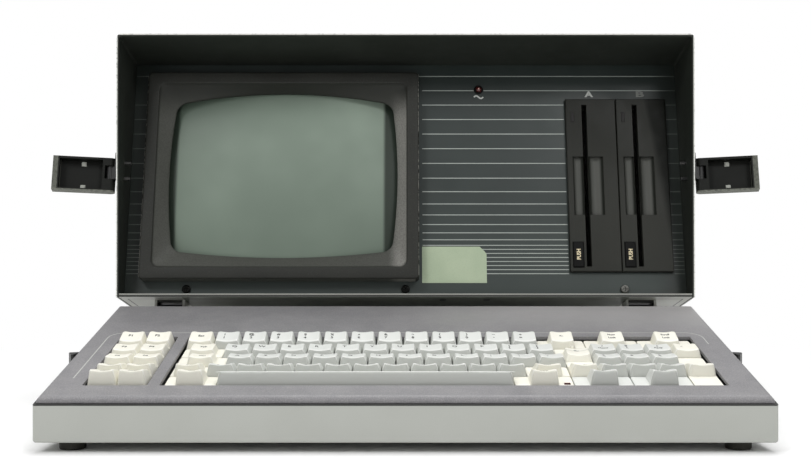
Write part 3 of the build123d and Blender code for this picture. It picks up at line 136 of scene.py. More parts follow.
class Signal:
    """One output of a material's node. Arithmetic on it adds Math nodes."""

    def __init__(self, tree, socket):
        self.tree = tree
        self.socket = socket

    def math(self, operation, *values):
        """A Math node of these values, in their order."""
        node = self.tree.nodes.new("ShaderNodeMath")
        node.operation = operation
        for socket, value in zip(node.inputs, values):
            connect(self.tree, socket, value)
        return Signal(self.tree, node.outputs[0])

    __add__, __radd__ = joined("ADD"), joined("ADD", swapped=True)
    __sub__, __rsub__ = joined("SUBTRACT"), joined("SUBTRACT", swapped=True)
    __mul__, __truediv__ = joined("MULTIPLY"), joined("DIVIDE")
    __gt__, __lt__ = joined("GREATER_THAN"), joined("LESS_THAN")
    either = joined("MAXIMUM")  # the larger of two masks

    def __abs__(self):
        return self.math("ABSOLUTE", self)

    def square(self):
        return self * self

    def near(self, value, half):
        """1 within half of a value, and 0 outside it."""
        return abs(self - value) < half


def connect(tree, socket, value):
    """Link a signal to a socket, or write a plain number or colour on it."""
    if isinstance(value, Signal):
        tree.links.new(value.socket, socket)
    elif isinstance(value, tuple) and len(value) == 3 and len(socket.default_value) == 4:
        socket.default_value = (*value, 1.0)
    else:
        socket.default_value = value


def tone(red, green, blue):
    """Linear colour of an 8-bit screen colour."""
    screen = np.array([red, green, blue]) / 255
    linear = np.where(screen <= 0.04045, screen / 12.92, ((screen + 0.055) / 1.055) ** 2.4)
    return tuple(float(v) for v in linear)


class Finish:
    """A material being built round one Principled shader."""

    def __init__(self, name, **constants):
        self.material = bpy.data.materials.new(name)
        self.material.use_nodes = True
        self.tree = self.material.node_tree
        self.shader = self.tree.nodes["Principled BSDF"]
        for key, value in constants.items():
            self.set(key, value)
        place = self.tree.nodes.new("ShaderNodeTexCoord")
        self.place = Signal(self.tree, place.outputs["Object"])

    def set(self, key, value):
        """Feed an input of the shader; underscores stand for spaces."""
        connect(self.tree, self.shader.inputs[key.replace("_", " ")], value)

    def paint(self, colour):
        """A colour for the whole surface."""
        self.colour = colour
        self.set("Base_Color", colour)

    def tint(self, mask, colour):
        """Another colour where a mask is 1."""
        self.paint(self.mix(mask, self.colour, colour))

    def add(self, kind, settings=None, output=0, **values):
        """Any node by its type, its settings first, then the values or links of its inputs."""
        node = self.tree.nodes.new(kind)
        for key, value in (settings or {}).items():
            setattr(node, key, value)
        for key, value in values.items():
            connect(self.tree, node.inputs[key.replace("_", " ")], value)
        return Signal(self.tree, node.outputs[output])

    def noise(self, size_mm, detail=2.0, roughness=0.5):
        """Soft noise whose features are about size_mm across."""
        return self.add("ShaderNodeTexNoise", Vector=self.place, Scale=1000.0 / size_mm, Detail=detail,
                        Roughness=roughness)

    def mix(self, mask, low, high):
        """Colour low where the mask is 0, and high where it is 1."""
        node = self.tree.nodes.new("ShaderNodeMix")
        node.data_type = "RGBA"
        connect(self.tree, node.inputs[0], mask)
        connect(self.tree, node.inputs[6], low)
        connect(self.tree, node.inputs[7], high)
        return Signal(self.tree, node.outputs[2])

    def step(self, value, low, high, out_low=0.0, out_high=1.0):
        """A value between low and high turned smoothly into one between two others."""
        return self.add("ShaderNodeMapRange", {"interpolation_type": "SMOOTHSTEP"}, Value=value,
                        From_Min=low, From_Max=high, To_Min=out_low, To_Max=out_high)

    def relief(self, height, depth_mm, strength):
        """Bump of a height from 0 to 1 that stands for so many millimetres."""
        bump = self.add("ShaderNodeBump", Height=height, Distance=depth_mm / 1000, Strength=strength)
        self.set("Normal", bump)

    def fade_to_white(self, mask):
        """White light instead of the surface where the mask is 1."""
        glow = self.tree.nodes.new("ShaderNodeEmission")
        blend = self.tree.nodes.new("ShaderNodeMixShader")
        connect(self.tree, blend.inputs[0], mask)
        self.tree.links.new(self.shader.outputs[0], blend.inputs[1])
        self.tree.links.new(glow.outputs[0], blend.inputs[2])
        self.tree.links.new(blend.outputs[0], self.tree.nodes["Material Output"].inputs["Surface"])

    def split(self):
        """The X, Y and Z of a point, in metres."""
        node = self.tree.nodes.new("ShaderNodeSeparateXYZ")
        self.tree.links.new(self.place.socket, node.inputs[0])
        return [Signal(self.tree, socket) for socket in node.outputs]

    def case_place(self):
        """X, depth and height in the case's own frame, in millimetres."""
        x, y, z = self.split()
        back = (y - (MOUTH_Y - MIDDLE_Y) / 1000) * 1000
        up = (z - MOUTH_Z / 1000) * 1000
        depth = back * np.cos(TILT) - up * np.sin(TILT)
        height = back * np.sin(TILT) + up * np.cos(TILT)
        return x * 1000, depth, height


def wear(finish, colour, worn, amount=0.35):
    """A colour with slow drift and fine specks towards a second one."""
    drift = finish.step(finish.noise(54, 3.0), 0.3, 0.7)
    specks = finish.step(finish.noise(0.75, 2.0), 0.55, 0.75)
    return finish.mix(drift * amount * 0.6 + specks * amount * 0.4, colour, worn)


# %% [markdown]
# The floor is a plain pale card that keeps the shadow near the object and turns plain white further
# out. The world is white where the camera sees it, and a good deal greyer as a lamp, so that the inside
# of the hood and the black plastics stay dark.

# %% Floor and world


def seen_rays(tree):
    """1 for rays that come from the camera or through glass, and 0 for those that only bring light."""
    path = tree.nodes.new("ShaderNodeLightPath")
    camera_ray = Signal(tree, path.outputs["Is Camera Ray"])
    return camera_ray.either(Signal(tree, path.outputs["Is Transmission Ray"]))


def white_world(lamp_strength):
    """Background node whose strength is 1 for rays that are seen, and lower for the rest."""
    world = bpy.data.worlds.new("studio")
    world.use_nodes = True
    tree = world.node_tree
    background = tree.nodes["Background"]
    background.inputs["Color"].default_value = (1.0, 1.0, 1.0, 1.0)
    connect(tree, background.inputs["Strength"], seen_rays(tree) * (1 - lamp_strength) + lamp_strength)
    return world


LAMP_STRENGTH = 0.42
FLOOR = 30.0
CARD_FADES = (0.34, 0.6)  # from the middle, where the card begins to turn white, and where it is white
scene.world = white_world(LAMP_STRENGTH)
floor_mesh = bpy.data.meshes.new("floor")
floor_corners = [(-FLOOR, -FLOOR, 0), (FLOOR, -FLOOR, 0), (FLOOR, FLOOR, 0), (-FLOOR, FLOOR, 0)]
floor_mesh.from_pydata(floor_corners, [], [(0, 1, 2, 3)])
floor = bpy.data.objects.new("floor", floor_mesh)
scene.collection.objects.link(floor)
card = Finish("pale_card", Roughness=0.9)
card.paint(card.mix(card.noise(40, 3.0), (0.93, 0.93, 0.93), (0.96, 0.96, 0.96)))
across, along, _ = card.split()
squared = across.square() + along.square()
card.fade_to_white(card.step(squared.math("SQRT", squared), *CARD_FADES) * seen_rays(card.tree))
floor_mesh.materials.append(card.material)

# %% [markdown]
# Every new piece below is a surface of rings: rounded rectangles that grow, shrink and move along a
# profile, as slices of the piece would. One helper works out the rings, a second joins them into a
# closed mesh, turned the right way out by the sign of its volume.

# %% Surface tools


def rounded(half_w, half_d, radius, arc=5, side=7):
    """Rounded rectangles, one per row: quarter circles at the corners, joined by straight runs."""
    half_w, half_d, radius = (np.asarray(v, float)[..., None, None] for v in (half_w, half_d, radius))
    turn = np.arange(4)[:, None] * np.pi / 2 + np.linspace(0, np.pi / 2, arc)
    x = np.array([1, -1, -1, 1])[:, None] * (half_w - radius) + radius * np.cos(turn)
    y = np.array([1, 1, -1, -1])[:, None] * (half_d - radius) + radius * np.sin(turn)
    run = np.arange(1, side + 1) / (side + 1)
    x = np.concatenate([x, x[..., -1:] * (1 - run) + np.roll(x, -1, -2)[..., :1] * run], -1)
    y = np.concatenate([y, y[..., -1:] * (1 - run) + np.roll(y, -1, -2)[..., :1] * run], -1)
    return x.reshape(*x.shape[:-2], -1), y.reshape(*y.shape[:-2], -1)


def ring_faces(rows, around, wrap=False):
    """Quads between neighbouring rings; wrap also joins the last ring to the first."""
    row = np.arange(rows if wrap else rows - 1)[:, None]
    column = np.arange(around)[None, :]
    here = row * around
    above = (row + 1) % rows * around
    after = (column + 1) % around
    quads = np.stack([here + column, here + after, above + after, above + column], -1)
    return list(map(tuple, quads.reshape(-1, 4)))


def fan_faces(ring_start, around, centre):
    """Triangles from a ring to a centre point."""
    column = np.arange(around)
    after = (column + 1) % around
    return [(ring_start + here, ring_start + there, centre) for here, there in zip(column, after)]


def piece(name, points, faces, finish, body, slot, replaces=(), smooth=True, sharp=35.0):
    """A mesh object from points in metres, that rides on a body; the slot that it is given is not used."""
    mesh = bpy.data.meshes.new(name)
    mesh.from_pydata(points.tolist(), [], [tuple(int(i) for i in face) for face in faces])
    mesh.update()
    mesh.polygons.foreach_set("use_smooth", np.full(len(mesh.polygons), smooth))
    if smooth:
        mesh.set_sharp_from_angle(angle=float(np.radians(sharp)))
    mesh.materials.append(finish.material)
    made = bpy.data.objects.new(name, mesh)
    scene.collection.objects.link(made)
    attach(made, body)
    if replaces:
        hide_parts(*replaces)
    print(name, "has", len(mesh.polygons), "faces")


def outward(points, faces):
    """The same faces, turned over if the shell's signed volume is below zero."""
    first = points[np.array([face[0] for face in faces])]
    volume = 0.0
    for corner in (1, 2):
        keep = np.array([len(face) > corner + 1 for face in faces])
        picked = [face for face, kept in zip(faces, keep) if kept]
        second = points[np.array([face[corner] for face in picked])]
        third = points[np.array([face[corner + 1] for face in picked])]
        volume += np.einsum("ij,ij->", first[keep], np.cross(second, third)) / 6
    return [face[::-1] for face in faces] if volume < 0 else faces


def shells(rings):
    """Closed shells from rings of shape (shell, row, around, 3): quads between rows, a fan at both ends."""
    count, rows, around = rings.shape[:3]
    ends = np.stack([rings[:, 0].mean(1), rings[:, -1].mean(1)], 1)
    points = np.concatenate([rings.reshape(count, -1, 3), ends], 1)
    low = [face[::-1] for face in fan_faces(0, around, rows * around)]
    high = fan_faces((rows - 1) * around, around, rows * around + 1)
    faces = outward(points[0], ring_faces(rows, around) + low + high)
    size = points.shape[1]
    every = [tuple(np.array(face) + shell * size) for shell in range(count) for face in faces]
    return points.reshape(-1, 3), every


# %% [markdown]
# Stove enamel is a hard, slightly lumpy paint. Its lumps are a millimetre or two across and very
# shallow, and dust and handling leave a faint drift in its colour. The hood is black inside, and the
# sheet's cut edge is bare, so the cover's paint asks where a point lies in the case's frame.

# %% Painted sheets
BLACK_ENAMEL = tone(21, 26, 19)
SEAM_DARK = tone(40, 41, 39)
BARE_RIM = 0.9
PANEL_Y = 16.8
POWER_LAMP, RING_IN, RING_OUT = (61.2, 179.0), 2.55, 3.9
LEG_X, LEG_W = 189.0, 19.5


def enamel(name, rough=0.42, lump_mm=1.4, depth_mm=0.05):
    """The surface of a painted sheet, not yet coloured: soft lumps, and a roughness that drifts."""
    sheet = Finish(name)
    sheet.set("Roughness", sheet.step(sheet.noise(30, 3.0), 0.3, 0.7, rough - 0.06, rough + 0.08))
    sheet.relief(sheet.noise(lump_mm, 3.0), depth_mm, 0.5)
    return sheet


def light_enamel(name):
    """The case's pale greenish grey."""
    sheet = enamel(name)
    sheet.paint(wear(sheet, tone(186, 187, 180), tone(160, 160, 150)))
    return sheet


def cover_paint():
    """Light outside, black inside the hood, bare at the cut edge of the mouth."""
    sheet = light_enamel("cover_enamel")
    x, depth, height = sheet.case_place()
    inside = (abs(x) < CASE_W / 2 - BARE_RIM) * (height < CASE_H - BARE_RIM)
    scuff = sheet.step(sheet.noise(2.2, 3.0), 0.52, 0.7)
    metal = sheet.mix(scuff * 0.5, tone(226, 227, 221), tone(120, 120, 114))
    sheet.tint(abs(depth + height * np.tan(SLANT)) < 0.35, metal)
    sheet.tint(inside, wear(sheet, BLACK_ENAMEL, tone(38, 42, 36), 0.5))
    sheet.set("Roughness", sheet.step(sheet.noise(30, 3.0), 0.3, 0.7, 0.4, 0.5) + inside * 0.18)
    return sheet


def pan_paint():
    """Light sheet with dark seams and holes below, painted shade on the underside between the legs, a darker
    front hem, and a black floor in the hood.
    """
    flange_end, flange_side, seam_half = 9.9, 221.3, 0.45
    hole_places, hole_depth, leg_clear = (30.0, 65.0), 14.0, 12.0
    hem_high, hem_middle, floor_low, floor_rear = 1.95, 0.85, 1.65, 30.0
    sheet = light_enamel("case_pan_enamel")
    x, depth, height = sheet.case_place()
    below = height < 0.5
    seams = depth.near(flange_end, seam_half) * (abs(x) < flange_side)
    seams = seams.either(abs(x).near(flange_side, seam_half) * (depth > flange_end))
    for hole_x in hole_places:
        seams = seams.either((x - hole_x).square() + (depth - hole_depth).square() * 0.2 < 7.5)
    hem_line = (depth < 0.3) * height.near(hem_middle, seam_half)
    # Painted shade: the underside is darker between the legs, where little light reaches.
    sheet.tint(below * (abs(x) < LEG_X - leg_clear), tone(112, 116, 106))
    sheet.tint((depth < 0.35) * (height < hem_high), tone(78, 80, 74))
    sheet.tint((seams * below).either(hem_line), SEAM_DARK)
    hood_floor = (height > floor_low) * (depth > 0.4) * (depth < floor_rear)
    sheet.tint(hood_floor, wear(sheet, BLACK_ENAMEL, tone(46, 48, 46), 0.5))
    return sheet


def keyboard_paint():
    """Light enamel with a dark line along its rim, where the plate's lip shades the joint."""
    sheet = enamel("keyboard_enamel", 0.5, 0.9, 0.03)
    sheet.paint(wear(sheet, tone(173, 175, 169), tone(156, 157, 150)))
    _, y, z = sheet.split()
    rim = z * 1000 - PAN_RIM - (y * 1000 + MIDDLE_Y) * np.tan(SLANT)
    sheet.tint(sheet.step(rim, -0.6, -0.3), SEAM_DARK)
    return sheet


def bracket_paint():
    """Light enamel on a stand bracket's cheeks, and black across its middle, where the leg rubs."""
    sheet = light_enamel("bracket_enamel")
    x, _, _ = sheet.case_place()
    sheet.tint(abs(abs(x) - LEG_X) < LEG_W / 2 + 0.4, BLACK_ENAMEL)
    return sheet


def deep_shade(finish, deep):
    """Darken a finish towards the hood's sides and roof, where little light gets in."""
    x, _, height = finish.case_place()
    side = finish.step(abs(x), 196.0, 224.0)
    roof = finish.step(height, 150.0, 200.0)
    finish.tint((side * 0.9).either(roof * 0.3), deep)


def slate_paint():
    """Dark slate enamel of the front panel, darker upwards as painted shade under the hood's roof."""
    sheet = enamel("slate_enamel", 0.42, 0.7, 0.02)
    _, _, height = sheet.case_place()
    # Painted shade: the slate darkens upwards, under the hood's roof.
    sheet.paint(sheet.mix(sheet.step(height, 30.0, 100.0), tone(50, 59, 56), tone(38, 47, 45)))
    sheet.tint(sheet.step(sheet.noise(60, 3.0), 0.3, 0.7) * 0.3, tone(55, 64, 61))
    deep_shade(sheet, tone(22, 29, 24))
    return sheet


# %% [markdown]
# Moulded plastic carries the texture of its mould: a fine spark-eroded grain. The screen surround,
# the drive faces and the handle share it in charcoal. Keys are smoother, and their pigment is even,
# but hands leave them a little glossier in patches.

# %% Plastics and rubber
DRIVE_FACE, SCOOP_FLOOR = 13.2, 17.4
SCOOP_MIDDLE, SCOOP_HALF = 94.75, 24.8
LATCH_MIDDLE, LATCH_LOW, LATCH_LIP_X = 95.6, 82.8, 274.3
RIVET_X, RIVET_APART, RIVET_R = 256.6, 9.5, 1.8


def moulding(name, colour, pale, grain_mm=0.45, depth_mm=0.03, rough=0.5, gloss=0.5):
    """Moulded plastic with spark grain: fine bumps and a faint sparkle of paler specks."""
    plastic = Finish(name, IOR=1.5, Specular_IOR_Level=gloss)
    grain = plastic.noise(grain_mm, 2.0, 0.6)
    specks = plastic.step(grain, 0.5, 0.8)
    drift = plastic.step(plastic.noise(35, 3.0), 0.3, 0.7)
    plastic.paint(plastic.mix(specks * 0.45 + drift * 0.2, colour, pale))
    plastic.set("Roughness", plastic.step(drift, 0, 1, rough - 0.05, rough + 0.07))
    plastic.relief(grain, depth_mm, 0.7)
    return plastic


def plate_moulding():
    """Grey moulding of the keyboard's plate: wide, cloudy wear from hands, and painted light that makes its
    rear right paler.
    """
    plastic = moulding("plate_moulding", tone(120, 119, 122), tone(146, 145, 146), 0.5, 0.03, 0.5)
    cloud = plastic.step(plastic.noise(14, 3.0, 0.6), 0.35, 0.65)
    speck = plastic.step(plastic.noise(0.8, 2.0), 0.4, 0.7)
    plastic.tint(cloud * 0.15 + speck * 0.45, tone(156, 154, 154))
    x, y, _ = plastic.split()
    # Painted light: the plate's rear right is paler, as if lit more from the right.
    bright = plastic.step(x * 1000, -60.0, 120.0) * plastic.step(y * 1000 + MIDDLE_Y, 110.0, 190.0)
    plastic.tint(bright * 0.6, tone(184, 182, 181))
    return plastic


def drive_moulding():
    """Charcoal moulding of the drive faces, with painted shade towards the hood's roof, a painted shadow of
    the hood's right wall across drive B, and painted light in the finger scoops.
    """
    plastic = moulding("drive_moulding", tone(46, 47, 43), tone(68, 68, 64), 0.35, 0.02, 0.42, 0.15)
    x, depth, height = plastic.case_place()
    # Painted shade darkens the faces upwards under the hood's roof, and a painted shadow of the hood's right
    # wall falls diagonally across drive B's right side.
    high = plastic.step(height, 70.0, 160.0) * 0.45
    corner = plastic.step(x + height * 0.169, 221.5, 231.0) * 0.97
    plastic.tint(high.either(corner), tone(5, 8, 3))
    # Painted light in the finger scoops: dark near the face, pale deeper in, where the highlight falls.
    scoop_painted_light = plastic.step(depth, DRIVE_FACE, DRIVE_FACE + 0.8)
    scoop_painted_light = scoop_painted_light * height.near(SCOOP_MIDDLE, SCOOP_HALF) * (depth < SCOOP_FLOOR)
    plastic.tint(scoop_painted_light, plastic.mix(plastic.step(depth, 14.8, 16.8), tone(36, 38, 34), tone(86, 87, 83)))
    return plastic


def latch_moulding():
    """Black moulding of the latches, rubbed pale at the end lip and lower edge, with two bright rivets."""
    plastic = moulding("latch_moulding", tone(9, 11, 7), tone(22, 24, 19), 0.5, 0.02, 0.55, 0.25)
    x, _, height = plastic.case_place()
    rubbed = plastic.step(plastic.noise(2.0, 3.0), 0.3, 0.6, 0.5, 0.9)
    pale = ((abs(x) > LATCH_LIP_X) * 0.8).either(height < LATCH_LOW)
    plastic.tint(pale * rubbed, tone(112, 114, 105))
    rivet = abs(x).near(RIVET_X, RIVET_R) * abs(height - LATCH_MIDDLE).near(RIVET_APART, RIVET_R)
    plastic.tint(rivet, tone(176, 178, 170))
    return plastic


def key_moulding(name, colour, pale, side):
    """Smooth key plastic, with painted shade on each row's front walls and a painted highlight along their
    top edge.
    """
    plastic = moulding(name, colour, pale, 0.25, 0.006, 0.42)
    _, y, z = plastic.split()
    along = (y * 1000 + MIDDLE_Y + (z * 1000 - PLATE_Z) * np.tan(SLANT)) * np.cos(SLANT)
    share = plastic.place.math("FRACT", (WELL_REAR - along) / UNIT)
    # Painted shade on the front wall of every key, found by each row's position along the slope.
    plastic.tint(plastic.step(share, 0.845, 0.875), side)
    # Painted highlight along the top of each front wall.
    plastic.tint(share.near(0.845, 0.025) * 0.5, tone(250, 250, 247))
    return plastic


def printed_ink():
    """Pale ink of the panel's lines, with the same painted shade as the panel towards the hood's sides and
    roof.
    """
    ink = moulding("panel_ink", tone(176, 183, 177), tone(142, 150, 144), 0.6, 0.003, 0.5)
    deep_shade(ink, tone(44, 50, 45))
    return ink


def shaded_letters():
    """Pale ink of the panel's letters; the right-hand one stands in the hood's shade."""
    ink = moulding("letter_ink", tone(190, 193, 188), tone(168, 171, 166), 0.6, 0.003, 0.5)
    x, _, _ = ink.case_place()
    ink.tint(ink.step(x, 165.0, 198.0) * 0.7, tone(56, 58, 54))
    return ink


black_plastic = moulding("black_moulding", tone(9, 11, 7), tone(24, 26, 20), 0.5, 0.02, 0.55, 0.35)
button_plastic = moulding("button_moulding", tone(4, 4, 3), tone(9, 9, 8), 0.5, 0.01, 0.6, 0.2)
# Each key plastic's third colour is the painted shade of its front walls.
cream_plastic = key_moulding("cream_key_plastic", tone(242, 240, 229), tone(233, 229, 214),
                             tone(226, 224, 212))
grey_plastic = key_moulding("grey_key_plastic", tone(221, 223, 219), tone(208, 210, 206),
                            tone(192, 194, 189))
foot_rubber = moulding("foot_rubber", tone(38, 38, 30), tone(60, 59, 50), 0.8, 0.04, 0.75)
legend_ink = moulding("legend_ink", tone(44, 44, 42), tone(66, 66, 62), 0.5, 0.003, 0.5)
button_ink = moulding("button_ink", tone(240, 226, 190), tone(226, 208, 160), 0.5, 0.003, 0.5)
plate_ink = moulding("plate_ink", tone(196, 197, 192), tone(176, 177, 172), 0.6, 0.003, 0.5)

# %% [markdown]
# Bare metals differ in their scratches. Zinc-plated sheet has a spangled, cloudy roughness; drawn
# wire and screws are brighter with wear; black enamel on the legs has rubbed through in places.

# %% Metals, boards and paper


def bare_metal(name, colour, dull, rough, spangle_mm=12.0):
    """Plated sheet: crystals of slightly different roughness, over fine scratches."""
    metal = Finish(name, Metallic=0.9)
    crystal = metal.add("ShaderNodeTexVoronoi", {"feature": "F1"}, 1, Vector=metal.place,
                        Scale=1000.0 / spangle_mm)
    shade = metal.add("ShaderNodeRGBToBW", Color=crystal)
    metal.paint(metal.mix(shade, colour, dull))
    metal.set("Roughness", shade * 0.15 + rough)
    metal.relief(metal.noise(0.5, 3.0), 0.01, 0.4)
    return metal


def blackened_screws():
    """Blackened heads; the one by the drives has been changed for a bright one."""
    metal = bare_metal("blackened_steel", tone(26, 27, 25), tone(26, 27, 25), 0.22, 4.0)
    x, _, _ = metal.case_place()
    metal.tint(x > 100.0, tone(104, 104, 100))
    return metal


def worn_black():
    """Black enamel rubbed through to steel in specks."""
    sheet = Finish("black_enamel")
    rubbed = sheet.step(sheet.noise(3.0, 4.0, 0.65), 0.68, 0.74)
    sheet.paint(sheet.mix(rubbed * 0.7, tone(24, 24, 24), tone(120, 118, 112)))
    sheet.set("Metallic", rubbed * 0.6)
    sheet.set("Roughness", 0.45 - rubbed * 0.1)
    sheet.relief(sheet.noise(1.0, 3.0), 0.03, 0.5)
    return sheet


def circuit_board():
    """Green lacquer over copper tracks, which run square to each other in steps."""
    board = Finish("green_board", IOR=1.5)
    tracks = board.add("ShaderNodeTexBrick", {"offset": 0.37, "squash": 0.6}, 1, Vector=board.place,
                       Scale=120.0, Mortar_Size=0.03)
    solder = board.step(board.noise(2.4, 1.0), 0.66, 0.7)
    board.paint(board.mix(tracks, tone(26, 74, 44), tone(48, 108, 62)))
    board.tint(solder, tone(168, 170, 165))
    board.set("Roughness", 0.35 + solder * 0.1)
    board.relief(tracks, 0.04, 0.6)
    return board


def copper_winding():
    """Lacquered wire, laid in fine turns."""
    wire = Finish("copper_winding", Metallic=0.8, Coat_Weight=0.5, Coat_Roughness=0.2)
    turns = wire.add("ShaderNodeTexWave", {"bands_direction": "Y"}, 1, Vector=wire.place, Scale=260.0,
                     Distortion=1.0)
    wire.paint(wire.mix(turns, tone(92, 48, 28), tone(176, 104, 62)))
    wire.set("Roughness", turns * 0.1 + 0.3)
    wire.relief(turns, 0.2, 0.8)
    return wire


def faded_paper():
    """Faded green paper with fibres and wide, soft clouds."""
    paper = Finish("label_paper")
    fibre = paper.noise(0.7, 4.0, 0.7)
    cloud = paper.step(paper.noise(22, 3.0), 0.3, 0.7)
    paper.paint(paper.mix(cloud, tone(176, 191, 163), tone(184, 198, 170)))
    paper.tint(paper.step(fibre, 0.45, 0.8, 0.0, 0.35), tone(140, 155, 130))
    paper.set("Roughness", 0.7 + fibre * 0.15)
    paper.relief(fibre, 0.03, 0.5)
    return paper


def red_lens():
    """Dark red moulded lens, glossy, with prisms inside and a painted glint on the power lamp; the drives'
    unlit lamps are nearly black.
    """
    lens = Finish("red_lens", Coat_Roughness=0.05)
    prism = lens.add("ShaderNodeTexVoronoi", {"feature": "F1"}, 0, Vector=lens.place, Scale=1600.0)
    lens.paint(lens.mix(lens.step(prism, 0.1, 0.6), tone(112, 24, 17), tone(52, 10, 8)))
    x, depth, height = lens.case_place()
    # A small painted glint at the middle of the power lamp.
    from_painted_glint = (x - POWER_LAMP[0]).square() + (height - POWER_LAMP[1]).square()
    lens.tint(from_painted_glint < 0.36, tone(226, 190, 176))
    drive_side = (x > 100.0) * (depth > 0.0)
    lens.tint(drive_side, tone(16, 14, 13))
    lens.set("Coat_Weight", 1.0 - drive_side)
    lens.set("Roughness", prism * 0.2 + drive_side * 0.4 + 0.15)
    return lens


zinc_sheet = bare_metal("zinc_sheet", tone(196, 198, 196), tone(160, 163, 162), 0.32)
bright_screw = bare_metal("screw_steel", tone(120, 120, 118), tone(66, 66, 66), 0.3, 4.0)
cast_metal = bare_metal("cast_metal", tone(168, 168, 164), tone(140, 140, 136), 0.5, 1.5)
black_steel = worn_black()
paper_green = faded_paper()

# %% [markdown]
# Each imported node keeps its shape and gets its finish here. The new pieces come after, and hide the
# nodes that they stand for.

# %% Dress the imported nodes
FINISHES = [
    (cover_paint(), "outer_cover"), (pan_paint(), "bottom_pan"), (light_enamel("light_enamel"), "rear_panel"),
    (slate_paint(), "front_panel"), (bracket_paint(), "stand_brackets"), (keyboard_paint(), "keyboard_pan"),
    (zinc_sheet, "bulkhead crt_band power_supply drive_cage brightness_control rear_sockets"),
    (circuit_board(), "neck_board monitor_board main_board expansion_cards"),
    (copper_winding(), "deflection_yoke"), (cast_metal, "drive_a_body drive_b_body"),
    (black_plastic, "mains_inlet fan_housing fan_rotor carry_handle power_switch brightness_knob"),
    (black_plastic, "cable_socket"), (plate_moulding(), "keyboard_plate"),
    (black_steel, "speaker latch_brackets front_stand handle_brackets switch_board keyboard_catches"),
    (drive_moulding(), "drive_a_face drive_b_face"), (button_plastic, "drive_a_button drive_b_button"),
    (latch_moulding(), "latch_left latch_right"), (red_lens(), "indicator_lamps caps_lamp"),
    (blackened_screws(), "panel_screws"), (bright_screw, "cover_screws"),
    (foot_rubber, "rear_feet keyboard_feet"), (paper_green, "paper_sticker"),
]
dressed = 0
for finish, names in FINISHES:
    for node in names.split():
        nodes[node].data.materials.clear()
        nodes[node].data.materials.append(finish.material)
        dressed += 1
print(dressed, "of", len(nodes), "nodes keep their packed shape")

# %% [markdown]
# The screen surround is one moulding: a flat band, a soft crease, and four walls that fall to the
# opening. The opening's sides bow outwards to match the glass. As rings, the outline starts as a plain
# rounded rectangle and turns into the bowed one on the way in.

# %% Screen surround
BEZEL_CENTRE, BEZEL_HALF, BEZEL_FACE = (-101.25, 103.0), (112.25, 87.5), 4.8
SCREEN_CENTRE, SCREEN_HALF = (-100.5, 104.0), (94.0, 69.5)
BOW_SIDE, BOW_TOP, BOW_LOW, TOP_RISE = 4.5, 9.3, 5.8, 1.3
OPENING_R, OPENING_Y = 7.0, 15.0
CORNER, SIDE = 5, 15  # points of each quarter circle and of each straight run


def bowed_opening():
    """Rounded rectangle whose sides bow out by a parabola, highest in the middle of each side."""
    half_w = SCREEN_HALF[0] - BOW_SIDE
    top = SCREEN_HALF[1] + TOP_RISE - BOW_TOP
    low = SCREEN_HALF[1] - BOW_LOW
    half_d = (top + low) / 2
    x, z = rounded(half_w, half_d, OPENING_R, CORNER, SIDE)
    across, along = x / half_w, z / half_d
    x = x + BOW_SIDE * across * (1 - along ** 2)
    bow = np.where(along > 0, BOW_TOP, BOW_LOW)
    z = z + (top - low) / 2 + bow * along * (1 - across ** 2)
    return x + SCREEN_CENTRE[0], z + SCREEN_CENTRE[1]


def surround_rings():
    """Rings from the back of the rim, over its rounded edge and the band, down the walls and back."""
    bend = np.linspace(0, np.pi / 2, 5)
    edge_r, band, crease = 1.6, 10.0, 1.2
    rise, fade = 1 - np.cos(bend), 1 - np.sin(bend)
    inset = np.concatenate([[0, 0], edge_r * rise, [band / 2], band - crease * fade])
    depth = BEZEL_FACE + np.concatenate([[PANEL_Y - BEZEL_FACE, 6], edge_r * fade, [0], crease * rise])
    radius = np.clip(3.0 + inset * 0.25, 3.0, 5.5)
    x, z = rounded(BEZEL_HALF[0] - inset, BEZEL_HALF[1] - inset, radius, CORNER, SIDE)
    x, z = x + BEZEL_CENTRE[0], z + BEZEL_CENTRE[1]
    hole_x, hole_z = bowed_opening()
    fall = np.array([0.12, 0.35, 0.6, 0.85, 0.96, 1.0, 1.0, 1.0])[:, None]
    wall_y = depth[-1] + (OPENING_Y - depth[-1]) * fall[:5, 0]
    y = np.concatenate([depth, wall_y, [OPENING_Y + 0.2, OPENING_Y + 0.7, PANEL_Y]])[:, None]
    x = np.concatenate([x, x[-1] + (hole_x - x[-1]) * fall])
    z = np.concatenate([z, z[-1] + (hole_z - z[-1]) * fall])
    return in_case(x, y, z)


def surround_moulding():
    """Warm grey moulding with a coarse grain and rubbed edges; its walls carry painted light, palest on the
    right, and painted shade on the top wall.
    """
    plastic = moulding("surround_moulding", tone(33, 34, 30), tone(62, 63, 58), 1.1, 0.1, 0.55, 0.35)
    x, depth, height = plastic.case_place()
    aside = abs(x - BEZEL_CENTRE[0])
    edge = (aside > BEZEL_HALF[0] - 0.5) * (depth < BEZEL_FACE + 1.3)
    rubbed = plastic.step(plastic.noise(2.4, 3.0), 0.42, 0.6)
    # Painted light on the walls that fall to the opening, paler towards the right, with painted shade on the
    # top wall.
    wall = plastic.step(depth, BEZEL_FACE + 0.8, BEZEL_FACE + 2.0) * (aside < BEZEL_HALF[0] - 3.0)
    right = plastic.step(x - SCREEN_CENTRE[0], 86.0, 96.0)
    pale = plastic.mix(right, tone(78, 79, 74), tone(132, 131, 126))
    pale = plastic.mix(plastic.step(height, 148.0, 178.0), pale, tone(33, 35, 30))
    speckle = plastic.step(plastic.noise(1.1, 2.0), 0.2, 0.7, 0.6, 1.0)
    plastic.tint(wall * speckle, pale)
    plastic.tint(edge * rubbed, tone(150, 150, 143))
    return plastic


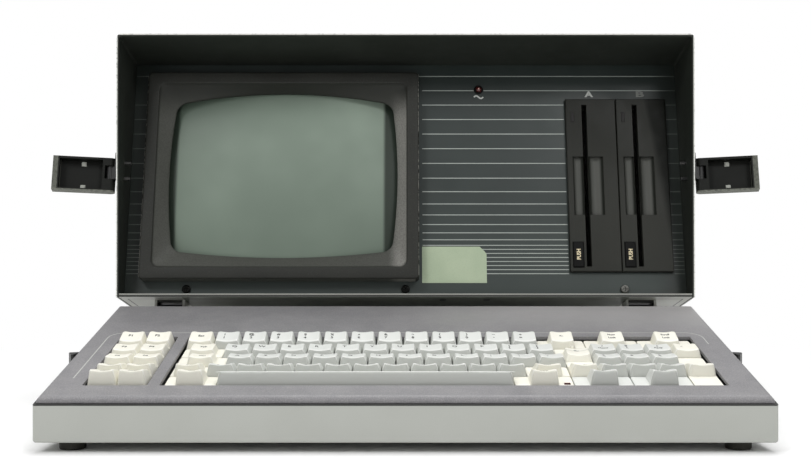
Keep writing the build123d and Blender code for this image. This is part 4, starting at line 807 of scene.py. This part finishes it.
surround = surround_rings()
surround_points = surround.reshape(-1, 3)
surround_faces = outward(surround_points, ring_faces(surround.shape[0], surround.shape[1], wrap=True))
piece("screen_surround", surround_points, surround_faces, surround_moulding(), "main_unit",
      "black_moulding", ["crt_bezel"], sharp=50)

# %% [markdown]
# The picture tube is a glass bulb: a face that bulges like part of a big ball, a skirt, a cone and a
# neck. Behind the face's glass lies the pale grey-green phosphor, so the colour is dull. The glass is
# etched against glare, so its gloss is soft.

# %% Picture tube


def tube_rings():
    """Face rings on a sphere, then the skirt, the cone and the neck, front to back."""
    sphere, face_y, half_w, half_h, corner = 560.0, 13.5, 104.0, 78.5, 20.0
    skirt_y, cone_y, neck_long, neck_r = 43.8, 117.8, 86.0, 14.3
    grow = np.array([0.02, 0.2, 0.4, 0.6, 0.8, 0.94, 0.985, 1.0])
    face_x, face_z = rounded(grow * half_w, grow * half_h, grow * corner, 7, 13)
    face = face_y + sphere - np.sqrt(sphere ** 2 - face_x ** 2 - face_z ** 2)
    face[-1] += 1.5  # the face's rounded edge
    step = np.linspace(0, 1, 6)
    shrink = 1 - np.sin(step * np.pi / 2) ** 1.4
    cone_w = neck_r + (half_w - neck_r) * shrink
    cone_h = neck_r + (half_h - neck_r) * shrink
    cone_corner = np.minimum(neck_r - 0.2 + (corner - neck_r) * shrink, np.minimum(cone_w, cone_h) - 0.1)
    cone_x, cone_z = rounded(cone_w, cone_h, cone_corner, 7, 13)
    neck_x, neck_z = rounded(neck_r, neck_r, neck_r - 0.2, 7, 13)
    back = np.concatenate([skirt_y + (cone_y - skirt_y) * step, [cone_y + 2.0, cone_y + neck_long]])
    x = np.concatenate([face_x, cone_x, [neck_x, neck_x]]) + SCREEN_CENTRE[0]
    z = np.concatenate([face_z, cone_z, [neck_z, neck_z]]) + SCREEN_CENTRE[1]
    return in_case(x, np.concatenate([face, back[:, None] + 0 * neck_x]), z)


def screen_glass():
    """Grey-green phosphor under etched glass, with painted light that grows upwards, painted shade at its top
    left, and bare glass past its sides.
    """
    glass = Finish("screen_glass", Coat_Weight=0.08, Coat_Roughness=0.35, Coat_IOR=1.52, IOR=1.4)
    x, _, height = glass.case_place()
    cloud = glass.step(glass.noise(60, 2.0), 0.3, 0.7)
    grain = glass.noise(0.3, 1.0)
    # Painted light and shade on the glass: lighter upwards, darker at the top left.
    glass.paint(glass.mix(glass.step(height, 40.0, 170.0), tone(118, 132, 119), tone(146, 161, 147)))
    glass.tint(glass.step(height - (x - SCREEN_CENTRE[0]) * 0.6, 118.0, 230.0), tone(84, 98, 86))
    glass.tint(cloud * 0.3 + grain * 0.12, tone(94, 107, 96))
    glass.tint(glass.step(abs(x - SCREEN_CENTRE[0] + 3.0), 84.0, 87.5), tone(42, 52, 43))
    glass.set("Roughness", 0.5 + cloud * 0.06)
    return glass


piece("picture_tube", *shells(tube_rings()[None]), screen_glass(), "main_unit", "screen_glass",
      ["crt_tube"])

# %% [markdown]
# A keytop is one surface from its stem to the middle of its dish: the stem's post, the open skirt,
# the walls that lean in, a rounded shoulder, and the dished top, which tips a different way in each
# row so that the rows together make one curve. Wide keys have the same top on a flat ledge.

# %% Keytop surface
KEY_GAP = 0.75
POST_HALF, POST_FOOT = 2.5, -11.0  # depths are below the plate
SKIRT_FOOT, LEDGE = -5.0, -2.2
FLARE_W, FLARE_D, SHOULDER = 1.85, 2.45, 0.35
MAIN_X, FUNC_X = -154.1, -202.8
ROW_S = WELL_REAR - UNIT * (np.arange(5) + 0.5)
ROW_LIFT = np.array([5.2, 3.5, 3.7, 4.0, 6.5, 4.9])
ROW_TIP = np.radians([11.0, 0.0, -9.0, -18.0, -18.0, -18.0])
BAR_TOP = 5  # the space bar's own entry in the two lists above
TOP_HALF = (7.3, 6.7)
TOP_FORWARD = 0.4
DISH = 1.2


def top_height(x, y, row, dish, half_w):
    """Height of a keytop: a plane tipped by the row, less a trough that is deepest along its middle."""
    plane = ROW_LIFT[row] + np.tan(ROW_TIP[row]) * (y + TOP_FORWARD)
    return plane - dish * (1 - np.clip(x / half_w, -1, 1) ** 2)


def key_rings(x, s, row, width, deep, top_w, top_d, dish, foot=POST_FOOT):
    """Rings of many keys at once, one key per entry: post down to its foot, skirt, ledge, walls, top."""
    entries = np.broadcast_arrays(x, s, row, width, deep, top_w, top_d, dish, foot)
    x, s, row, width, deep, top_w, top_d, dish, foot = (entry[:, None] for entry in entries)
    base_w, base_d = width / 2 - KEY_GAP / 2, deep / 2 - KEY_GAP / 2
    cap_w = np.minimum(base_w, top_w + FLARE_W)
    cap_d = np.minimum(base_d, top_d + FLARE_D)
    post, bevel, ledge = POST_HALF, 0.3, LEDGE + 0.05
    profile = [(post - bevel, post - bevel, 0.3, foot), (post, post, 0.3, foot * 0.97),
               (post, post, 0.3, SKIRT_FOOT), (base_w - bevel, base_d - bevel, 1.0, SKIRT_FOOT),
               (base_w, base_d, 1.2, SKIRT_FOOT + bevel), (base_w, base_d, 1.2, LEDGE - bevel),
               (np.maximum(base_w - bevel, cap_w), np.maximum(base_d - bevel, cap_d), 1.2, LEDGE),
               (cap_w, cap_d, 1.4, ledge)]
    half_w, half_d, radius, level = (np.concatenate([ring[i] + 0 * base_w for ring in profile], 1)
                                     for i in range(4))
    ring_x, ring_y = rounded(half_w, half_d, radius)
    ring_n = level[..., None] + 0 * ring_x
    row3, dish3, top3 = row[..., None], dish[..., None], top_w[..., None]
    climb = np.array([0.25, 0.55, 0.8, 0.93])
    wall_w = cap_w + (top_w + SHOULDER - cap_w) * climb
    wall_d = cap_d + (top_d + SHOULDER - cap_d) * climb
    wall_x, wall_y = rounded(wall_w, wall_d, 1.4 + 1.0 * climb + 0 * wall_w)
    wall_y = wall_y - TOP_FORWARD * climb[:, None]
    crown = top_height(wall_x, wall_y, row3, dish3, top3)
    wall_n = ledge + (crown - ledge) * climb[:, None]
    shrink = np.array([1.03, 1.0, 0.95, 0.85, 0.65, 0.4, 0.15])
    drop = np.array([0.28, 0.1, 0.0, 0.0, 0.0, 0.0, 0.0])
    face_x, face_y = rounded(top_w * shrink, top_d * shrink, 2.5 * shrink + 0 * top_w)
    face_y = face_y - TOP_FORWARD
    face_n = top_height(face_x, face_y, row3, dish3, top3) - drop[:, None]
    ring_x = np.concatenate([ring_x, wall_x, face_x], 1)
    ring_y = np.concatenate([ring_y, wall_y, face_y], 1)
    ring_n = np.concatenate([ring_n, wall_n, face_n], 1)
    return on_plate(ring_x + x[..., None], ring_y + s[..., None], ring_n)


def keys_at(places):
    """Middle, row and width of keys written as (row, left edge in units, width in units)."""
    row, column, width = np.array(places, float).T
    return MAIN_X + (column + width / 2) * UNIT, ROW_S[row.astype(int)], row.astype(int), width * UNIT


# %% [markdown]
# The words on keys are the same for every maker: letters, digits, signs and the names of control
# keys. Blender's own font gives their outlines. Each is laid on its keytop by the same formula that
# shaped the top, a hair above it, and is thick enough to be a closed solid.

# %% Lettering


def letters(word, height, thick, bold):
    """Points and faces of a word, centred, in millimetres, with its thickness along Z."""
    curve = bpy.data.curves.new("word", "FONT")
    curve.body = word
    curve.size = height * 1.4  # capitals stand about 0.7 of the font's size
    curve.align_x = "CENTER"
    curve.align_y = "CENTER"
    curve.extrude = thick / 2
    curve.offset = bold
    curve.resolution_u = 2
    holder = bpy.data.objects.new("word", curve)
    scene.collection.objects.link(holder)
    bpy.context.view_layer.update()
    mesh = bpy.data.meshes.new_from_object(holder.evaluated_get(bpy.context.evaluated_depsgraph_get()))
    points = np.array([vertex.co for vertex in mesh.vertices])
    faces = [tuple(polygon.vertices) for polygon in mesh.polygons]
    bpy.data.objects.remove(holder)
    bpy.data.curves.remove(curve)
    bpy.data.meshes.remove(mesh)
    return points - (points.min(0) + points.max(0)) / 2, faces


def gather(shapes):
    """Several (points, faces) as one."""
    points, faces, start = [], [], 0
    for some_points, some_faces in shapes:
        points.append(some_points)
        faces += [tuple(int(i) + start for i in face) for face in some_faces]
        start += len(some_points)
    return np.concatenate(points), faces


def legend(words, x, s, row, dish, top_w):
    """The words of one keytop: (word, height, x, y) each, raised onto its surface."""
    made = []
    for word, height, word_x, word_y in words:
        points, faces = letters(word, height, 0.04, 0.1)
        local_x, local_y = points[:, 0] + word_x, points[:, 1] + word_y
        level = top_height(local_x, local_y, row, dish, top_w) + points[:, 2] + 0.05
        made.append((on_plate(local_x + x, local_y + s, level), faces))
    return made


def words_for(text):
    """Where a key's words go: a sign over another, the name of a key, or a single letter."""
    if "|" in text:
        upper, lower = text.rsplit("|", 1)
        small = max(len(upper), len(lower)) > 1
        size, left = (1.9, 0.0) if small else (2.7, -2.6)
        return [(upper, size, left, 2.6), (lower, size, left, -1.6)]
    if text[0] == "F" and len(text) > 1:
        return [(text, 2.6, -1.4, 1.4)]
    if len(text) > 1:
        return [(text, 2.3 if len(text) < 4 else 2.0, 0.0, 1.0)]
    return [(text, 3.2, -2.4, 1.6)]


# %% [markdown]
# Eighty-three keys in their rows. Each group that moves as one is one piece, with its words as a
# second piece on the same body.

# %% Keys and their words
FUNC_LEFT = (FUNC_X - MAIN_X) / UNIT
KEY_GROUPS = {
    "number_keys": ([(0, 1 + n, 1) for n in range(12)], "!|1 @|2 #|3 $|4 %|5 ^|6 &|7 *|8 (|9 )|0 _|- +|="),
    "upper_letter_keys": ([(1, 1.5 + n, 1) for n in range(12)], "Q W E R T Y U I O P {|[ }|]"),
    "home_letter_keys": ([(2, 1.75 + n, 1) for n in range(12)], "A S D F G H J K L :|; \"|' ~|`"),
    "lower_letter_keys": ([(3, 1.25 + n, 1) for n in range(11)], "||\\ Z X C V B N M <|, >|. ?|/"),
    "keypad_keys": ([(row, 14.75 + n, 1) for row in (1, 2, 3) for n in range(3)]
                    + [(4, 13.75, 2), (4, 15.75, 2)],
                    "7|Home 8|^ 9|PgUp 4|< 5 6|> 1|End 2|v 3|PgDn 0|Ins .|Del"),
    "shift_keys": ([(3, 0, 1.25), (3, 12.25, 1.5)], "Shift Shift"),
    "control_keys": ([(0, 0, 1), (0, 13, 1.75), (0, 14.75, 2), (0, 16.75, 2), (1, 0, 1.5), (1, 17.75, 1),
                      (2, 0, 1.75), (3, 13.75, 1), (4, 0, 1.75)],
                     "Esc <- Num|Lock Scroll|Lock Tab - Ctrl PrtSc|* Alt"),
    "caps_lock_key": ([(4, 11.75, 2)], "Caps|Lock"),
    "function_keys": ([(row, FUNC_LEFT + n, 1) for row in range(5) for n in (0, 1)],
                      "F1 F2 F3 F4 F5 F6 F7 F8 F9 F10"),
}
CREAM = {"function_keys", "shift_keys", "control_keys", "caps_lock_key", "enter_key", "plus_key"}


def make_keys(node, rings, words):
    """A group's shells and its words, on the group's own body."""
    plastic, slot = (cream_plastic, "cream_key") if node in CREAM else (grey_plastic, "grey_key")
    name = "space_keytop" if node == "space_bar" else node.replace("_key", "_keytop")
    piece(name, *shells(rings), plastic, node, slot, [node], sharp=40)
    if words:
        name = node.replace("_keys", "").replace("_key", "") + "_legends"
        piece(name, *gather(words), legend_ink, node, slot, smooth=False)


for node, (places, text) in KEY_GROUPS.items():
    x, s, row, width = keys_at(places)
    words = []
    for at, entry in enumerate(text.split(" ")):
        words += legend(words_for(entry), x[at], s[at], row[at], DISH, TOP_HALF[0])
    make_keys(node, key_rings(x, s, row, width, UNIT, *TOP_HALF, DISH), words)

bar_x, plus_x, enter_x, ledge_x = MAIN_X + np.array([6.75, 18.25, 14.25, 14.125]) * UNIT
enter_s = (ROW_S[1] + ROW_S[2]) / 2
bar = key_rings([bar_x], ROW_S[4], BAR_TOP, 10 * UNIT, UNIT, 5 * UNIT - 2.4, TOP_HALF[1], 0.0)
make_keys("space_bar", bar, [])
make_keys("plus_key", key_rings([plus_x], ROW_S[3], 3, UNIT, 3 * UNIT, *TOP_HALF, DISH),
          legend([("+", 3.4, -2.0, 1.2)], plus_x, ROW_S[3], 3, DISH, TOP_HALF[0]))
# The enter key is a tall key with a low, wider ledge across its upper half; the ledge's own post is short.
enter = key_rings([enter_x, ledge_x], [enter_s, ROW_S[1]], 1, [UNIT, 1.25 * UNIT], [2 * UNIT, UNIT],
                  [TOP_HALF[0], 1.0], [TOP_HALF[1], 1.0], [DISH, 0.0], [POST_FOOT, SKIRT_FOOT - 0.2])
make_keys("enter_key", enter, legend([("<-", 3.0, -0.6, 1.6)], enter_x, enter_s, 1, DISH, TOP_HALF[0]))

# %% [markdown]
# The front panel's only decoration is a set of thin printed lines. They are evenly spaced in the upper
# half, close up in even steps below, and end as a dense band. Each printed line is a strip a few
# hundredths of a millimetre thick. The drives' letters and a small wave below the lamp are as thin.

# %% Printed lines and letters


def strips(x0, x1, z0, z1):
    """Thin closed boxes on the panel, one per entry: eight corners each."""
    thick = 0.06
    x0, x1, z0, z1 = (np.asarray(v, float)[:, None] for v in np.broadcast_arrays(x0, x1, z0, z1))
    corner = np.array([(a, b, c) for b in (0, 1) for c in (0, 1) for a in (0, 1)])
    x = x0 + (x1 - x0) * corner[:, 0]
    z = z0 + (z1 - z0) * corner[:, 2]
    quads = np.array([(0, 1, 3, 2), (4, 6, 7, 5), (0, 4, 5, 1), (2, 3, 7, 6), (0, 2, 6, 4), (1, 5, 7, 3)])
    faces = (np.arange(len(x0))[:, None, None] * 8 + quads).reshape(-1, 4)
    points = in_case(x, PANEL_Y - thick + 1.4 * thick * corner[:, 1], z)
    return points.reshape(-1, 3), list(map(tuple, faces))


LINE_TOP, PITCH, BAND_PITCH, HALF_LINE = 191.0, 12.7, 3.35, 0.33
CLOSE_FROM, CLOSE_TO = 11.55, 4.65
LINES_LEFT, DRIVES_LEFT, LAMP_RIGHT = 13.9, 132.2, 65.4
HOOD_SIDE, SURROUND_SIDE, DRIVES_SIDE = 226.0, -214.6, 217.5
even = LINE_TOP - PITCH * np.arange(8)
closing = even[-1] - np.cumsum(np.linspace(CLOSE_FROM, CLOSE_TO, 7))
band = closing[-1] - BAND_PITCH * np.arange(1, 8)
line_z = np.concatenate([even, closing, band])
to_x = np.full(line_z.size - 1, DRIVES_LEFT)
to_x[0] = POWER_LAMP[0] - RING_OUT
runs = [(LINES_LEFT, to_x, line_z[1:]), ([-HOOD_SIDE, LAMP_RIGHT], HOOD_SIDE, line_z[:2]),
        (-HOOD_SIDE, SURROUND_SIDE, line_z[2:]), (DRIVES_SIDE, HOOD_SIDE, line_z[2:])]
line_points, line_faces = gather([strips(x0, x1, z - HALF_LINE, z + HALF_LINE) for x0, x1, z in runs])
piece("panel_lines", line_points, outward(line_points, line_faces), printed_ink(), "main_unit", "panel_print",
      smooth=False)
print("panel lines at", np.round(line_z, 1))


def ribbon(path_u, path_v, half, low, high):
    """A flat bar of square section that follows a path: four corners per path point, closed at its ends."""
    step_u, step_v = np.gradient(path_u), np.gradient(path_v)
    length = np.hypot(step_u, step_v)
    side_u, side_v = -step_v / length * half, step_u / length * half
    u = np.stack([path_u - side_u, path_u + side_u, path_u + side_u, path_u - side_u], 1)
    v = np.stack([path_v - side_v, path_v + side_v, path_v + side_v, path_v - side_v], 1)
    n = np.broadcast_to(np.array([low, low, high, high]), u.shape)
    last = 4 * (len(path_u) - 1)
    faces = ring_faces(len(path_u), 4) + [(3, 2, 1, 0), (last, last + 1, last + 2, last + 3)]
    return u.ravel(), v.ravel(), n.ravel(), faces


def panel_letters(entries, y, upward=False):
    """Words on an upright face of the case, each (word, width, height, bold, x, z), stretched to size."""
    made = []
    for word, width, height, bold, x, z in entries:
        points, faces = letters(word, height, 0.1, bold)
        across = points[:, 0] * width / np.ptp(points[:, 0])
        up = points[:, 1] * height / np.ptp(points[:, 1])
        if upward:
            across, up = -up, across
        made.append((in_case(across + x, y - points[:, 2], up + z), faces))
    return gather(made)


LETTER_Z = 175.2
WAVE_HALF, WAVE_Z, WAVE_RISE = 3.9, 172.6, 1.15
BUTTON_Y = PANEL_Y - 5.4
DRIVES = {"a": 133.2, "b": 175.1}
along = np.linspace(-1, 1, 33)
wave_x, wave_z, wave_n, wave_faces = ribbon(
    POWER_LAMP[0] + WAVE_HALF * along, WAVE_Z - WAVE_RISE * np.sin(np.pi * along), 0.6, 0.05, -0.05)
both = panel_letters([("A", 7.3, 5.2, 0.3, 153.6, LETTER_Z), ("B", 7.0, 5.2, 0.3, 196.6, LETTER_Z)], PANEL_Y)
wave = in_case(wave_x, PANEL_Y + wave_n, wave_z), wave_faces
piece("panel_letters", *gather([both, wave]), shaded_letters(), "main_unit", "panel_print", smooth=False)
for drive, left in DRIVES.items():
    word = panel_letters([("PUSH", 8.7, 3.4, 0.12, left + 6.6, 36.9)], BUTTON_Y, upward=True)
    piece(f"drive_{drive}_button_word", *word, button_ink, f"drive_{drive}_button", "black_moulding",
          smooth=False)

# %% [markdown]
# The power lamp sits in a small black ring, which is a round profile turned about the lamp's axis. The
# label's corner is cut: any point of its outline beyond a slanted line moves back onto that line.

# %% Lamp ring and label


def turned(radius, y, centre):
    """Closed ring of a profile turned about an axis square to the panel."""
    angle = np.linspace(0, 2 * np.pi, 40, endpoint=False)
    x = centre[0] + radius[:, None] * np.cos(angle)
    z = centre[1] + radius[:, None] * np.sin(angle)
    points = in_case(x, y[:, None], z).reshape(-1, 3)
    return points, outward(points, ring_faces(len(radius), len(angle), wrap=True))


profile = np.linspace(0, 2 * np.pi, 12, endpoint=False)
radii = (RING_IN + RING_OUT) / 2 + (RING_OUT - RING_IN) / 2 * np.cos(profile)
ring = turned(radii, PANEL_Y - 0.5 + 0.7 * np.sin(profile), POWER_LAMP)
piece("lamp_ring", *ring, button_plastic, "main_unit", "black_moulding")

LABEL_X, LABEL_Z, LABEL_W, LABEL_H = 13.4, 14.3, 52.3, 30.0
LABEL_CUT = 5.5


def label_rings():
    """Outline of the label at its back and front, then the same outline shrunk towards the middle."""
    shrink = np.array([1.0, 1.0, 0.995, 0.8, 0.5, 0.2])[:, None]
    x, z = rounded(LABEL_W / 2, LABEL_H / 2, 0.4, 3, 9)
    over = np.maximum(x + z - (LABEL_W + LABEL_H) / 2 + LABEL_CUT, 0)
    x, z = (x - over / 2) * shrink, (z - over / 2) * shrink
    y = PANEL_Y + np.array([0.0, -0.17, -0.2, -0.2, -0.2, -0.2])[:, None]
    return in_case(x + LABEL_X + LABEL_W / 2, y, z + LABEL_Z + LABEL_H / 2)


piece("blank_label", *shells(label_rings()[None]), paper_green, "main_unit", "paper_label", ["paper_sticker"])

# %% [markdown]
# The keyboard's plate has one thin printed line behind the keys. At both ends it turns and runs down the
# side, further on the left than on the right.

# %% Printed line on the plate
LINE_S, LINE_X, LINE_BEND = 133.6, 213.5, 12.0
LEFT_END, RIGHT_END = 36.0, 107.0
turn = np.linspace(0, np.pi / 2, 12)
left_down = np.linspace(LEFT_END, LINE_S - LINE_BEND, 9)[:-1]
right_down = np.linspace(LINE_S - LINE_BEND, RIGHT_END, 4)[1:]
bend_x = LINE_X - LINE_BEND * (1 - np.cos(turn))
bend_s = LINE_S - LINE_BEND + LINE_BEND * np.sin(turn)
path_x = np.concatenate([0 * left_down - LINE_X, -bend_x, bend_x[::-1], 0 * right_down + LINE_X])
path_s = np.concatenate([left_down, bend_s, bend_s[::-1], right_down])
*plate_place, plate_faces = ribbon(path_x, path_s, 0.3, -0.02, 0.03)
plate_points = on_plate(*plate_place)
piece("plate_line", plate_points, outward(plate_points, plate_faces), plate_ink, "keyboard", "key_plate",
      smooth=False)
